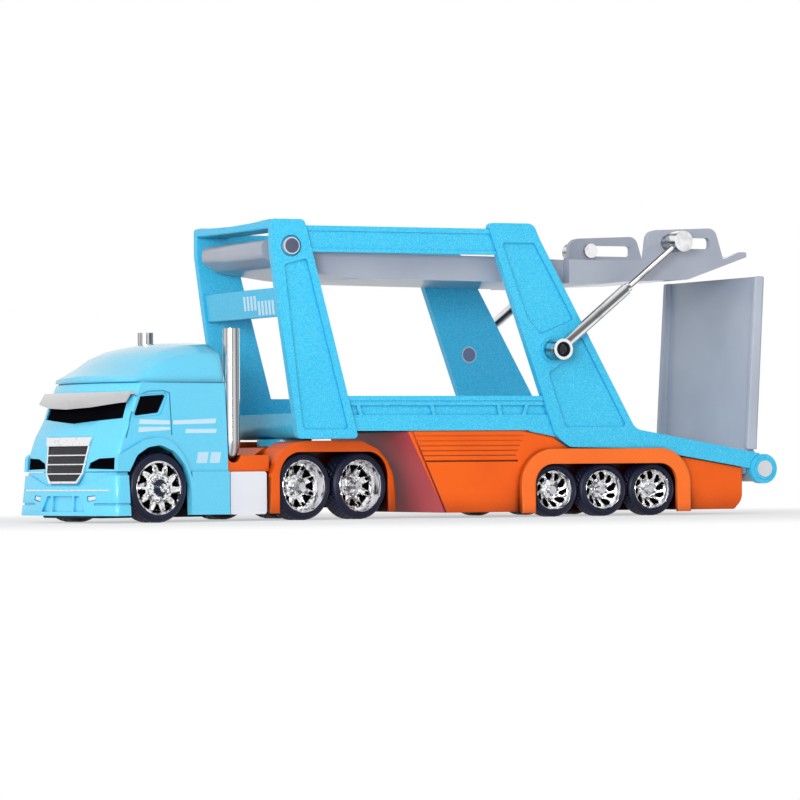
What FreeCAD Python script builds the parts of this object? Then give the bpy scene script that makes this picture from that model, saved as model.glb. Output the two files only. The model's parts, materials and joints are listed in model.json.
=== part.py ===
"""Toy car-carrier lorry: a cab-over tractor and an articulated two-deck trailer.

Millimetres. +X points to the front of the trailer, +Y to its left, +Z up. Everything is laid out
about the kingpin, with the floor at Z = 0, and is moved at the end so that the origin is the
middle of the bottom of the whole toy's box. The tractor stands turned about the kingpin.
"""
import FreeCAD, Part
import math
import os

V = FreeCAD.Vector
UP = V(0, 0, 1)
LEFT = V(0, 1, 0)

# ---------------------------------------------------------------- driving sizes: trailer
tractor_turn = 12.5          # degrees, tractor to the left of the trailer's line
frame_outer = 24.8           # half width over the side frames
frame_thick = 2.2            # wall of a side frame
beam_step = 0.8              # beam and rails stand back from the pillars' faces
rim_proud = 0.35             # rims along the beam's and the rail's edges
recess = 0.6                 # depth of the sunk panels
frame_top = 75.3             # top of the pillars
beam_drop = 1.5              # top of the long beam below the pillars' tops
beam_top = frame_top - beam_drop
beam_depth = 6.6             # height of the long beam
rail_top = 31.1              # top of the lower deck's rail
rail_bottom = 22.3
rail_step_x = -56.4          # where the rail's underside starts to fall to the pillar's foot
rail_step_end_x = -67.0
rail_step = 1.9
foot_bottom = 20.4           # underside of the neck
pillar_front = 14.2          # front edge of the front pillar at its top
pillar_width = 9.0           # front pillar along X at its top
foot_front = 7.3             # front edge of the front pillar at its foot
foot_width = 16.6            # front pillar along X at its foot
rear_pillar_x = -46.2        # front edge of the rear pillar at its top
rear_pillar_width = 13.2
rear_pillar_lean = 0.352     # run per rise of its front edge
rear_edge_lean = 0.527       # run per rise of its rear edge
tail_knee_x = -88.8          # where the rear pillar turns into the tail rail
tail_knee_z = 22.5
tail_rail_depth = 4.4
ramp_axis_x = -127.0
ramp_axis_z = 11.9
tail_boss_r = 3.9
flat_gap = 0.3               # between flat faces that move past each other
seat_gap = 0.2               # between the blue frame and the orange chassis
skin_gap = 0.02              # between snug cab parts

# ---------------------------------------------------------------- driving sizes: lower deck
floor_top = 26.0
floor_thick = 1.8
floor_slope_x = -57.0        # where the floor starts to fall to the tail
floor_end_x = -120.8
floor_end_top = 14.9
neck_wall_top = 26.8
neck_wall_thick = 1.6

# ---------------------------------------------------------------- driving sizes: chassis
chassis_outer = 24.0
chassis_bottom = 1.4
chassis_top = rail_bottom - seat_gap
chassis_front_top_x = -23.4
chassis_front_bottom_x = -33.8
chassis_rear_x = -121.0
well_inner = 17.4            # half width of the body between the wheels
arch_top = 13.6
arch_radius = 5.2
arch_relief = 1.1            # the well behind the band is larger by this
fender_band = 3.9            # width of the raised band
fender_face = 25.8           # half width over the bands
fender_back = 24.5           # inside face of the band where it stands over the tyres

# ---------------------------------------------------------------- driving sizes: wheels
tractor_tyre_r = 8.5
trailer_tyre_r = 6.9
tractor_tyre_w = 6.6
trailer_tyre_w = 5.8
tractor_rim_r = 6.7
trailer_rim_r = 5.2
tractor_track = 20.2         # half width over the tractor's tyres
trailer_track = 24.15
axle_r = 1.0
axle_play = 0.06             # running clearance of a shaft in its hole
front_axle_x = 53.2
drive_axle_x = 8.9
drive_axle_pitch = 17.9
trailer_axle_x = -65.2
trailer_axle_pitch = 14.4
trailer_axles = 3
arch_lead = 6.3              # first trailer axle to the arch band's inside edge
arch_trail = 6.6             # last trailer axle to the arch band's inside edge
arch_front_x = trailer_axle_x + arch_lead
arch_rear_x = trailer_axle_x - (trailer_axles - 1) * trailer_axle_pitch - arch_trail

# ---------------------------------------------------------------- driving sizes: upper deck
deck_pin_x = 8.9
deck_pin_drop = 6.7          # deck's pivot below the pillars' tops
deck_pin_z = frame_top - deck_pin_drop
deck_narrow = 19.0           # half width between the pillars
deck_wide = frame_outer - frame_thick - flat_gap
deck_step_x = -71.0
deck_flat_x = -36.0          # the deck's lowest part runs back from here
deck_dip_x = -12.0
deck_rise_x = -3.0
deck_scoop_x = -106.3        # where its underside starts to rise to the tip
deck_front_x = 14.4
deck_tip_x = -124.0
deck_wall = 1.4
deck_floor = 1.5
deck_bottom = deck_pin_z - 7.9
deck_wall_top = deck_pin_z - 2.3
deck_tip_top = deck_pin_z + 0.4
deck_tip_bottom = deck_pin_z - 0.9
lug_height = 6.6             # lug's rear top corner above the pivot
lug_top = deck_pin_z + lug_height
lug_front_x = -93.2
lug_rear_x = -117.0
lug_thick = 1.8
slot_half = 1.45
slot_front_x = -98.7
slot_rear_x = -112.9
pin_r = 2.15                 # visible pin heads
pin_shank_r = 1.1
pin_head = 0.5

# ---------------------------------------------------------------- driving sizes: struts
strut_pivot_x = -64.5
strut_pivot_z = 42.9
strut_top_x = -100.1
strut_top_rise = 2.5         # slot's middle above the deck's pivot
strut_top_z = deck_pin_z + strut_top_rise
strut_plane = 28.4           # half width to the middle of a strut
eye_r = 2.7
eye_hole_r = 1.3
eye_half = 2.7
barrel_r = 1.5
barrel_end = 26.4            # from the pivot to the barrel's open end
rod_r = 0.75
rod_play = 0.08
rod_start = 9.0              # from the pivot to the rod's hidden end

# ---------------------------------------------------------------- driving sizes: rear ramp
ramp_half = 24.6
ramp_top = 62.6
ramp_front_x = -122.4        # front face at the foot
ramp_lean = 0.065            # run per rise, towards the rear
ramp_depth = 2.8
ramp_panel = 1.0
ramp_rail = 1.6
ramp_knuckle_r = 3.4

# ---------------------------------------------------------------- driving sizes: tractor
cab_rear_x = 32.2
cab_overhang = 14.1          # front axle to the cab's nose
cab_nose_x = front_axle_x + cab_overhang
cab_bottom = 1.8
cab_wall = 1.3
cab_half = 19.8
flare_proud = 0.7            # wheel arch lips stand out from the cab's sides
flare_half = cab_half + flare_proud
seam_z = 34.5                # joint of cab and roof
bumper_top = 12.6
bumper_seam = 0.15
bumper_over = 0.2            # at its top, wider than the tyres on either side
bumper_half = tractor_track + bumper_over
bumper_flare = 1.0           # wider by this at the bottom
bumper_proud = 0.2           # its corners forward of the cab's
bumper_nose_proud = 0.5
windscreen_bottom = 24.4
windscreen_top = 30.8
visor_top = 32.1
front_arch_half = 9.1
front_arch_top = 19.0
stack_x = 30.05
stack_y = 18.5
stack_r = 2.05
stack_wall = 0.5
stack_top = 47.8
stack_bend_z = 19.8          # where the pipe starts to bend
stack_bend_r = 3.2
block_half = 12.6            # block between the stacks
block_top = 20.0
bed_top = 18.3               # tractor frame under the trailer's neck
bed_plate = 3.0
bed_front_x = 19.2
tyre_gap = 0.6               # from the bed's sides to the drive tyres
bed_half = tractor_track - tractor_tyre_w - tyre_gap
fender_over = 0.8            # mudguards, wider than the tyres on either side
fender_outer = tractor_track + fender_over
fender_front_x = 21.2
fender_rear_x = -19.6
fender_top = 19.9
drive_arch_front_x = 17.2    # edge of the opening in the mudguard's outside
drive_arch_rear_x = -17.2
drive_arch_top = 17.1
drive_arch_relief = 0.7      # the well behind that edge is larger by this
guard_skin = 0.5
guard_back = fender_outer - guard_skin
step_top = 16.4
tank_top = 12.3
tank_bottom = 1.7
tank_front_x = 31.6
tank_rear_x = 20.5
tank_outer = 20.0
tank_inner = 13.2
boss_r = 7.0                 # blue disc round the kingpin
kingpin_r = 2.0


# ---------------------------------------------------------------- helpers
def corner(before, here, after, radius):
    """Tangent points and middle of the arc that rounds one corner of an outline."""
    a = (before - here).normalize()
    b = (after - here).normalize()
    half = math.acos(max(-1.0, min(1.0, a.dot(b)))) / 2.0
    reach = radius / math.tan(half)
    middle = (a + b).normalize() * (radius / math.sin(half) - radius)
    return here + a * reach, here + middle, here + b * reach


def outline(points, place):
    """A closed wire through (u, v, corner radius) rows, put in space by place(u, v)."""
    at = [place(u, v) for u, v, _ in points]
    edges = []
    starts = []
    for i, (_, _, radius) in enumerate(points):
        if radius > 0:
            first, middle, last = corner(at[i - 1], at[i], at[(i + 1) % len(at)], radius)
            starts.append((first, last, Part.Arc(first, middle, last).toShape()))
        else:
            starts.append((at[i], at[i], None))
    for i, (_, last, arc) in enumerate(starts):
        if arc:
            edges.append(arc)
        following = starts[(i + 1) % len(starts)][0]
        if (following - last).Length > 1e-6:
            edges.append(Part.LineSegment(last, following).toShape())
    return Part.Wire(edges)


def slab(points, y0, y1):
    """A side outline of (x, z, radius) rows, extruded across from y0 to y1."""
    wire = outline(points, lambda x, z: V(x, y0, z))
    return Part.Face(wire).extrude(V(0, y1 - y0, 0))


def plate(points, z0, z1):
    """A plan outline of (x, y, radius) rows, extruded up from z0 to z1."""
    wire = outline(points, lambda x, y: V(x, y, z0))
    return Part.Face(wire).extrude(V(0, 0, z1 - z0))


def box(x0, x1, y0, y1, z0, z1):
    return Part.makeBox(x1 - x0, y1 - y0, z1 - z0, V(x0, y0, z0))


def rod_y(x, z, r, y0, y1):
    return Part.makeCylinder(r, y1 - y0, V(x, y0, z), LEFT)


def mirrored(shape):
    return shape.mirror(V(0, 0, 0), LEFT)


def pair(shape):
    """The piece on the left and its mirror image on the right."""
    return Part.makeCompound([shape, mirrored(shape)])


def fused(shapes):
    first = shapes[0].fuse(shapes[1:]) if len(shapes) > 1 else shapes[0]
    return first.removeSplitter()


frame_inner = frame_outer - frame_thick
pieces = {}


# ---------------------------------------------------------------- trailer side frames
def rear_front_edge(z):
    """X of the rear pillar's front edge at height z."""
    return rear_pillar_x - rear_pillar_lean * (frame_top - z)


def front_rear_edge(z):
    """X of the front pillar's rear edge at height z."""
    top_x = pillar_front - pillar_width
    foot_x = foot_front - foot_width
    return top_x + (foot_x - top_x) * (frame_top - z) / (frame_top - foot_bottom)


def sunk(points, depth=recess, face=frame_outer):
    """A shallow panel to cut into the outside of a side frame."""
    return slab([(x, z, 0.7) for x, z in points], face - depth, face + 1)


def groove(points, width, y0, y1):
    """Thin slabs that follow a line of (x, z) points on a side."""
    strips = []
    for (x0, z0), (x1, z1) in zip(points, points[1:]):
        run = V(x1 - x0, 0, z1 - z0)
        side = run.cross(LEFT).normalize() * (width / 2)
        along = run.normalize() * (width / 2)
        start = V(x0, y0, z0) - along
        end = V(x1, y0, z1) + along
        ring = [start + side, end + side, end - side, start - side]
        strips.append(Part.Face(Part.makePolygon(ring + ring[:1])).extrude(V(0, y1 - y0, 0)))
    return strips


def pillars():
    """Outlines of the front pillar and of the rear pillar with its tail rail."""
    knee_slope = (tail_knee_z - ramp_axis_z - tail_boss_r) / (tail_knee_x - ramp_axis_x)
    tail_x = ramp_axis_x + 1.0
    tail_z = tail_knee_z + knee_slope * (tail_x - tail_knee_x)
    front = [
        (pillar_front, frame_top, 0.9),
        (pillar_front - pillar_width, frame_top, 1.4),
        (foot_front - foot_width, foot_bottom, 1.0),
        (foot_front, foot_bottom, 1.0),
        (12.2, frame_top - 22.3, 40.0),
        (pillar_front, frame_top - 7.3, 15.0),
    ]
    rear = [
        (rear_pillar_x, frame_top, 1.2),
        (rear_pillar_x - rear_pillar_width, frame_top, 2.5),
        (-61.2, frame_top - 4.0, 6.0),
        (tail_knee_x, tail_knee_z, 3.5),
        (tail_x, tail_z, 0),
        (tail_x, tail_z - tail_rail_depth, 0),
        (tail_knee_x - 2.4, tail_knee_z - 5.1, 20.0),
        (-69.5, tail_knee_z - 4.6, 2.5),
        (rear_front_edge(frame_top - 54.5), frame_top - 54.5, 6.0),
    ]
    return front, rear


def side_frame():
    """One open side: front pillar, long beam, leaning rear pillar, lower rail and tail rail."""
    back = frame_outer - beam_step
    front, rear = pillars()
    shapes = [slab(front, frame_inner, frame_outer), slab(rear, frame_inner, frame_outer)]
    for low, high, face in (
            (beam_top - beam_depth, beam_top, back),
            (beam_top - 1.3, beam_top, back + rim_proud),
            (beam_top - beam_depth, beam_top - beam_depth + 0.9, back + rim_proud),
            (rail_bottom, rail_top, back),
            (rail_top - 1.2, rail_top, back + rim_proud)):
        shapes.append(slab([
            (front_rear_edge(high) + 2.0, high, 0),
            (rear_front_edge(high) - 2.0, high, 0),
            (rear_front_edge(low) - 2.0, low, 0),
            (front_rear_edge(low) + 2.0, low, 0),
        ], frame_inner, face))
    shapes.append(slab([
        (rail_step_x, rail_bottom + 1, 0),
        (rail_step_x, rail_bottom, 3.0),
        (rail_step_end_x, rail_bottom - rail_step, 0),
        (rail_step_end_x - 3, rail_bottom + 1, 0),
    ], frame_inner, back))
    shapes.append(rod_y(ramp_axis_x, ramp_axis_z, tail_boss_r, frame_inner, frame_outer + 0.6))
    frame = fused(shapes)
    low, high = rail_bottom + 4.0, rail_bottom + 6.4
    band = slab([
        (front_rear_edge(high), high, 0),
        (rear_front_edge(high), high, 0),
        (rear_front_edge(low), low, 0),
        (front_rear_edge(low), low, 0),
    ], back - 0.6, back + 1)
    ribs = []
    for x, lean in ((-9.4, -1.3), (-30.0, -1.3), (-49.2, -0.8), (-57.8, 1.5)):
        ribs.append(slab([(x + 0.5, high + 1, 0), (x - 0.5, high + 1, 0),
                          (x - 0.5 + lean, low - 1, 0), (x + 0.5 + lean, low - 1, 0)],
                         back - 1.6, back))
    frame = frame.cut(band.cut(ribs))
    frame = frame.cut([
        sunk([(10.8, frame_top - 11.3), (4.6, frame_top - 9.8), (-6.6, foot_bottom + 2.3),
              (5.9, foot_bottom + 2.3), (7.0, 31.0)]),
        sunk([(-50.2, frame_top - 5.0), (-59.6, frame_top - 5.0), (-70.9, 50.7), (-61.2, 46.9),
              (-57.4, 51.2)]),
        sunk([(-73.0, 46.6), (-86.3, tail_knee_z + 0.6), (-68.2, tail_knee_z + 0.6), (-63.4, 36.9),
              (-67.2, 39.4)]),
        rod_y(deck_pin_x, deck_pin_z, pin_r + 0.6, frame_outer - recess, frame_outer + 1),
    ])
    boss = rod_y(strut_pivot_x, strut_pivot_z, 3.2, frame_inner, frame_outer + 0.5)
    flange = rod_y(ramp_axis_x, ramp_axis_z, pin_r + 0.7, frame_outer, frame_outer + 0.9)
    frame = fused([frame, boss, flange])
    for x, z in ((deck_pin_x, deck_pin_z), (strut_pivot_x, strut_pivot_z), (ramp_axis_x, ramp_axis_z)):
        frame = frame.cut(rod_y(x, z, pin_r, frame_inner - 1, frame_outer + 2))
    return frame


left_frame = side_frame()
pieces["side_frame_left"] = left_frame
pieces["side_frame_right"] = mirrored(left_frame)


# ---------------------------------------------------------------- portal and decks of the trailer
def front_portal():
    """Top cross bar and the name board between the front pillars."""
    bar = slab([
        (pillar_front, frame_top, 0.6),
        (pillar_front - pillar_width, frame_top, 0.6),
        (pillar_front - pillar_width, frame_top - 2.4, 0.6),
        (pillar_front, frame_top - 2.4, 0.6),
    ], -frame_inner, frame_inner)
    sag = [V(pillar_front - 30, y, frame_top - drop) for y, drop in (
        (-21.0, 0.0), (-14.0, 0.45), (0.0, 0.7), (14.0, 0.45), (21.0, 0.0), (21.0, -2.0), (-21.0, -2.0))]
    bar = bar.cut(Part.Face(Part.makePolygon(sag + sag[:1])).extrude(V(60, 0, 0)))
    board_top = frame_top - 17.1
    board = slab([(12.3, board_top, 0.3), (10.7, board_top, 0.3), (9.7, board_top - 7.2, 0.3),
                  (11.3, board_top - 7.2, 0.3)],
                 -frame_inner, frame_inner)
    return Part.makeCompound([bar, board])


pieces["front_portal"] = front_portal()


def lower_deck():
    """Floor between the frames, flat from the neck and then falling to the tail."""
    foot_x = foot_front - 0.2
    under = floor_top - floor_thick
    end_under = floor_end_top - floor_thick
    return slab([
        (foot_x, foot_bottom, 3.6),
        (foot_x, neck_wall_top, 0),
        (foot_x - neck_wall_thick, neck_wall_top, 0),
        (foot_x - neck_wall_thick, floor_top, 0),
        (floor_slope_x, floor_top, 0),
        (floor_end_x, floor_end_top, 0),
        (floor_end_x, end_under, 0),
        (floor_slope_x, under, 0),
        (front_rear_edge(rail_bottom), under, 0),
        (foot_front - foot_width, foot_bottom, 0),
    ], -frame_inner, frame_inner)


pieces["lower_deck"] = lower_deck()


def kingpin():
    """Disc under the neck, with the pin and its head below the tractor's bed."""
    under = bed_top + flat_gap
    disc = Part.makeCylinder(boss_r, foot_bottom - under, V(0, 0, under), UP)
    head_top = bed_top - bed_plate - flat_gap
    pin = Part.makeCylinder(kingpin_r, under - head_top, V(0, 0, head_top), UP)
    head = Part.makeCylinder(kingpin_r + 1.2, 1.0, V(0, 0, head_top - 1.0), UP)
    return fused([disc, pin, head])


pieces["kingpin"] = kingpin()


# ---------------------------------------------------------------- trailer chassis
def arch(front_x, rear_x, top, radius, grow, y0, y1):
    """A flat-topped wheel arch opening, grown by grow all round and open below."""
    return slab([
        (front_x + grow, chassis_bottom - 3, 0),
        (front_x + grow, top + grow, radius + grow),
        (rear_x - grow, top + grow, radius + grow),
        (rear_x - grow, chassis_bottom - 3, 0),
    ], y0, y1)


chassis_outline = [
    (chassis_front_top_x, chassis_top, 0),
    (rail_step_x + 0.6, chassis_top, 3.0),
    (rail_step_end_x + 2.0, rail_bottom - rail_step - seat_gap, 3.0),
    (-69.6, tail_knee_z - 4.8, 2.5),
    (tail_knee_x - 2.4, tail_knee_z - 5.3, 20.0),
    (chassis_rear_x, 12.2, 0),
    (chassis_rear_x, chassis_bottom + 2.5, 4.0),
    (chassis_rear_x + 2.4, chassis_bottom, 0.8),
    (chassis_front_bottom_x, chassis_bottom, 0.4),
]


def trailer_chassis():
    """Orange body under the deck with a raked front and a long well over the wheels."""
    body = slab(chassis_outline, -chassis_outer, chassis_outer)
    under = floor_top - floor_thick
    core = slab([
        (chassis_front_top_x, under, 0),
        (floor_slope_x, under, 0),
        (chassis_rear_x + 0.4, floor_end_top - floor_thick, 0),
        (chassis_rear_x + 0.4, chassis_bottom + 3.0, 0),
        (chassis_front_bottom_x - 0.5, chassis_bottom + 3.0, 0),
    ], -frame_inner, frame_inner)
    body = fused([body, core])
    well = arch(arch_front_x, arch_rear_x, arch_top, arch_radius, arch_relief,
                well_inner, chassis_outer + 1)
    hollow = slab([
        (chassis_front_bottom_x - 2.0, chassis_bottom - 2, 0),
        (chassis_front_bottom_x + 3.2, 12.0, 0),
        (chassis_rear_x + 1.6, 12.0, 0),
        (chassis_rear_x + 1.6, chassis_bottom - 2, 0),
    ], -well_inner + 1.5, well_inner - 1.5)
    line = groove([(-28.3, 14.5), (-54.5, 14.5)], 0.4, chassis_outer - 0.4, chassis_outer + 1)
    for n in range(5):
        z = 15.9 + n * 1.25
        line += groove([(-27.6 + n * 0.55, z), (-54.0 - n * 0.6, z)], 0.22, chassis_outer - 0.15,
                       chassis_outer + 1)
    line += groove([(chassis_front_top_x - 0.9, chassis_top + 1), (chassis_front_bottom_x - 0.9, 0)],
                   0.5, chassis_outer - 0.4, chassis_outer + 1)
    body = body.cut([well, mirrored(well), hollow] + line + [mirrored(strip) for strip in line])
    for i in range(trailer_axles):
        x = trailer_axle_x - i * trailer_axle_pitch
        body = body.cut(rod_y(x, trailer_tyre_r, axle_r + axle_play, -chassis_outer, chassis_outer))
    return body


pieces["trailer_chassis"] = trailer_chassis()


def trailer_fender():
    """Raised band round the wheel arch, its inner lip standing over the tyres."""
    band = arch(arch_front_x, arch_rear_x, arch_top, arch_radius, fender_band,
                chassis_outer, fender_face)
    hole = arch(arch_front_x, arch_rear_x, arch_top, arch_radius, 0,
                chassis_outer - 1, fender_face + 1)
    relief = arch(arch_front_x, arch_rear_x, arch_top, arch_radius, arch_relief,
                  chassis_outer - 1, fender_back)
    rear_x = arch_rear_x - 2 * fender_band
    front_x = arch_front_x + 2 * fender_band
    floor_cut = box(rear_x, front_x, chassis_outer - 1, fender_face + 1, -5, chassis_bottom - 0.4)
    under_frame = slab(chassis_outline, chassis_outer - 1, frame_outer + seat_gap)
    beside_frame = box(rear_x, front_x, frame_outer + seat_gap, fender_face, 0, rail_top)
    band = band.common(fused([under_frame, beside_frame]))
    return band.cut([hole, relief, floor_cut])


pieces["trailer_fenders"] = pair(trailer_fender())


def trailer_pin(x, z):
    """A pin pressed through a side frame, its head just proud of the outside."""
    return rod_y(x, z, pin_r, frame_inner, frame_outer + pin_head)


deck_pin = fused([trailer_pin(deck_pin_x, deck_pin_z),
                  rod_y(deck_pin_x, deck_pin_z, pin_shank_r, deck_narrow - deck_wall, frame_inner)])
pieces["deck_pins"] = pair(deck_pin)

strut_pin = fused([
    rod_y(strut_pivot_x, strut_pivot_z, pin_r, frame_inner, strut_plane - eye_half - flat_gap),
    rod_y(strut_pivot_x, strut_pivot_z, eye_hole_r - rod_play, frame_outer,
          strut_plane + eye_half - 0.4)])
pieces["strut_pins"] = pair(strut_pin)

ramp_pin = fused([rod_y(ramp_axis_x, ramp_axis_z, pin_r, frame_inner, frame_outer + 0.6 + pin_head),
                  rod_y(ramp_axis_x, ramp_axis_z, pin_shank_r, frame_inner - 4.0, frame_inner)])
pieces["ramp_pins"] = pair(ramp_pin)


# ---------------------------------------------------------------- upper deck
def deck_profile():
    """Side outline of the deck's tub, its heights taken from the pivot."""
    pivot = deck_pin_z
    return [
        (deck_front_x, pivot - 2.3, 1.9),
        (deck_front_x, pivot + 1.8, 1.9),
        (4.6, pivot + 1.8, 1.5),
        (2.2, pivot - 1.0, 1.5),
        (-50.0, pivot - 1.6, 20.0),
        (-76.0, deck_wall_top, 6.0),
        (-95.0, deck_wall_top + 0.2, 6.0),
        (lug_rear_x - 0.4, pivot - 1.5, 2.0),
        (deck_tip_x + 2.2, deck_tip_top, 0.8),
        (deck_tip_x, deck_tip_top, 0.5),
        (deck_tip_x, deck_tip_bottom, 0.5),
        (deck_scoop_x, pivot - 7.0, 3.0),
        (-98.8, pivot - 7.3, 6.0),
        (-86.5, pivot - 7.8, 3.0),
        (-81.0, deck_bottom - 0.5, 3.0),
        (deck_flat_x, deck_bottom, 20.0),
        (deck_dip_x, deck_bottom + 0.3, 20.0),
        (deck_rise_x, pivot - 6.8, 10.0),
        (10.2, pivot - 5.0, 4.0),
    ]


def upper_deck():
    """A shallow tub, narrow between the pillars and wide behind them, with slotted lugs."""
    narrow = slab(deck_profile(), -deck_narrow, deck_narrow)
    wide = slab(deck_profile(), -deck_wide, deck_wide)
    floor_z = deck_bottom + deck_floor
    behind = box(deck_tip_x - 5, deck_step_x, -30, 30, 50, 90)
    tub = fused([narrow, wide.common(behind)])
    trough = slab([
        (deck_front_x - 2.2, 90, 0),
        (deck_front_x - 2.2, deck_pin_z + 0.4, 0),
        (9.0, deck_pin_z - 5.1 + deck_floor, 5.0),
        (deck_rise_x, deck_pin_z - 6.8 + deck_floor, 10.0),
        (deck_dip_x, floor_z + 0.3, 20.0),
        (deck_flat_x, floor_z, 20.0),
        (-92.0, floor_z, 10.0),
        (deck_scoop_x, floor_z + 0.8, 6.0),
        (deck_tip_x, deck_tip_top - 0.6, 0),
        (deck_tip_x - 3, deck_tip_top - 0.6, 0),
        (deck_tip_x - 3, 90, 0),
    ], -deck_wide, deck_wide)
    reach = deck_narrow - deck_wall
    inside = box(deck_tip_x - 5, deck_front_x, -reach, reach, 50, 95)
    reach = deck_wide - lug_thick
    inside_wide = box(deck_tip_x - 5, deck_step_x - deck_wall, -reach, reach, 50, 95)
    tub = tub.cut(trough.common(fused([inside, inside_wide])))
    spacer = pair(rod_y(deck_pin_x, deck_pin_z, 1.9, deck_narrow - deck_wall,
                        frame_inner - flat_gap))
    tub = fused([tub] + spacer.Solids)
    lug = slab([
        (lug_front_x, deck_wall_top - 0.6, 0),
        (lug_front_x - 1.2, lug_top - 0.9, 2.8),
        (lug_rear_x + 2.6, lug_top, 2.6),
        (lug_rear_x, deck_wall_top + 0.5, 0),
    ], deck_wide - lug_thick, deck_wide)
    slot = slab([
        (slot_front_x, strut_top_z - slot_half, 0.9),
        (slot_front_x, strut_top_z + slot_half, 0.9),
        (slot_rear_x, strut_top_z + slot_half, 0.9),
        (slot_rear_x, strut_top_z - slot_half, 0.9),
    ], deck_wide - lug_thick - 1, deck_wide + 1)
    lug = lug.cut(slot)
    deck = fused([tub, lug, mirrored(lug)])
    hole = rod_y(deck_pin_x, deck_pin_z, pin_shank_r + axle_play, -frame_inner, frame_inner)
    return deck.cut(hole)


pieces["upper_deck"] = upper_deck()


# ---------------------------------------------------------------- struts
strut_rise = math.degrees(math.atan2(strut_top_z - strut_pivot_z, strut_pivot_x - strut_top_x))
strut_length = math.hypot(strut_top_z - strut_pivot_z, strut_pivot_x - strut_top_x)


def along_strut(shape):
    """Turn a piece drawn along -X from the pivot to the strut's slant and put it there."""
    shape = shape.copy()
    shape.rotate(V(0, 0, 0), LEFT, strut_rise)
    shape.translate(V(strut_pivot_x, strut_plane, strut_pivot_z))
    return shape


def strut_barrel():
    eye = Part.makeCylinder(eye_r, 2 * eye_half, V(0, -eye_half, 0), LEFT)
    tube = Part.makeCylinder(barrel_r, barrel_end - 1.2, V(0, 0, 0), V(-1, 0, 0))
    collar = Part.makeCylinder(barrel_r - 0.3, 1.4, V(1.4 - barrel_end, 0, 0), V(-1, 0, 0))
    bore = Part.makeCylinder(rod_r + rod_play, barrel_end, V(-rod_start + 4.2, 0, 0), V(-1, 0, 0))
    hole = Part.makeCylinder(eye_hole_r, 2 * eye_half + 2, V(0, -eye_half - 1, 0), LEFT)
    return along_strut(fused([eye, tube, collar]).cut([bore, hole]))


def strut_rod():
    rod = Part.makeCylinder(rod_r, strut_length - rod_start, V(-rod_start, 0, 0), V(-1, 0, 0))
    head_x = -strut_length
    eye = Part.makeCylinder(eye_r, 2 * eye_half, V(head_x, -eye_half, 0), LEFT)
    inner = strut_plane - deck_wide + lug_thick
    pin = Part.makeCylinder(pin_shank_r, inner + 0.3, V(head_x, -inner - 0.3, 0), LEFT)
    collar = Part.makeCylinder(pin_r - 0.1, strut_plane - deck_wide - 0.3 - eye_half,
                               V(head_x, -(strut_plane - deck_wide) + 0.3, 0), LEFT)
    button = Part.makeCylinder(pin_r - 0.2, 0.8, V(head_x, -inner - 1.1, 0), LEFT)
    return along_strut(fused([rod, eye, pin, collar, button]))


pieces["strut_barrels"] = pair(strut_barrel())
pieces["strut_rods"] = pair(strut_rod())


# ---------------------------------------------------------------- rear ramp
def rear_ramp():
    """Upright tray hinged at the tail, its rails on the side that cars drive on."""
    foot_z = ramp_axis_z + tail_boss_r + 1.2
    top_x = ramp_front_x - ramp_lean * (ramp_top - foot_z)
    tray = slab([
        (ramp_front_x, foot_z, 0),
        (top_x, ramp_top, 0.6),
        (top_x - ramp_depth + 0.2, ramp_top, 0.6),
        (ramp_front_x - ramp_depth, foot_z, 0),
    ], -ramp_half, ramp_half)
    hollow = slab([
        (ramp_front_x + 3, foot_z - 1, 0),
        (ramp_front_x + 3, ramp_top + 1, 0),
        (top_x - ramp_depth + ramp_panel + 0.2, ramp_top + 1, 0),
        (ramp_front_x - ramp_depth + ramp_panel, foot_z - 1, 0),
    ], -ramp_half + ramp_rail, ramp_half - ramp_rail)
    inner = frame_inner - flat_gap
    foot = slab([
        (ramp_front_x - ramp_depth + ramp_panel, foot_z + 0.5, 0),
        (ramp_front_x - ramp_depth, foot_z + 0.5, 0),
        (ramp_axis_x - 2.0, ramp_axis_z, 0),
        (ramp_axis_x + 5.2, ramp_axis_z - 1.4, 0),
        (ramp_axis_x + 4.6, ramp_axis_z + 2.6, 0),
    ], -inner, inner)
    knuckle = rod_y(ramp_axis_x, ramp_axis_z, ramp_knuckle_r, -inner, inner)
    hole = rod_y(ramp_axis_x, ramp_axis_z, pin_shank_r + axle_play, frame_inner - 4.2, frame_inner + 1)
    return fused([tray.cut(hollow), foot, knuckle]).cut([hole, mirrored(hole)])


pieces["rear_ramp"] = rear_ramp()

# ---------------------------------------------------------------- tractor
tractor = {}

# Tools that cut the cab's front reach from behind its skin to well in front of it.
cut_back = cab_nose_x - 7.3
cut_front = cab_nose_x + 4.7

# Horizontal sections of the cab, bottom to top: height, half width, then how far behind the
# nose the side turns in, the front corner's place behind the nose and half width, the middle's place
cab_rows = [
    (cab_bottom, cab_half, 2.4, 1.4, 17.6, 0.0),
    (bumper_top, cab_half, 2.4, 1.4, 17.6, 0.0),
    (17.0, cab_half - 0.1, 2.9, 1.9, 17.4, 0.4),
    (21.0, cab_half - 0.3, 4.3, 3.1, 17.0, 1.1),
    (25.0, cab_half - 0.5, 6.5, 5.5, 17.2, 3.0),
    (30.6, cab_half - 0.9, 8.6, 7.4, 16.8, 4.7),
    (seam_z, cab_half - 1.3, 10.2, 8.9, 16.0, 5.9),
]
cab_sections = [
    (z, half, cab_nose_x - side, cab_nose_x - corner_back, corner_half, cab_nose_x - middle)
    for z, half, side, corner_back, corner_half, middle in cab_rows
]


def bow(corner_x, half, nose_x, z):
    """Shallow curve across the front, from the left corner over the nose to the right one."""
    curve = Part.BezierCurve()
    curve.setPoles([V(corner_x, half, z), V(2 * nose_x - corner_x, 0, z), V(corner_x, -half, z)])
    return curve.toShape()


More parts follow.
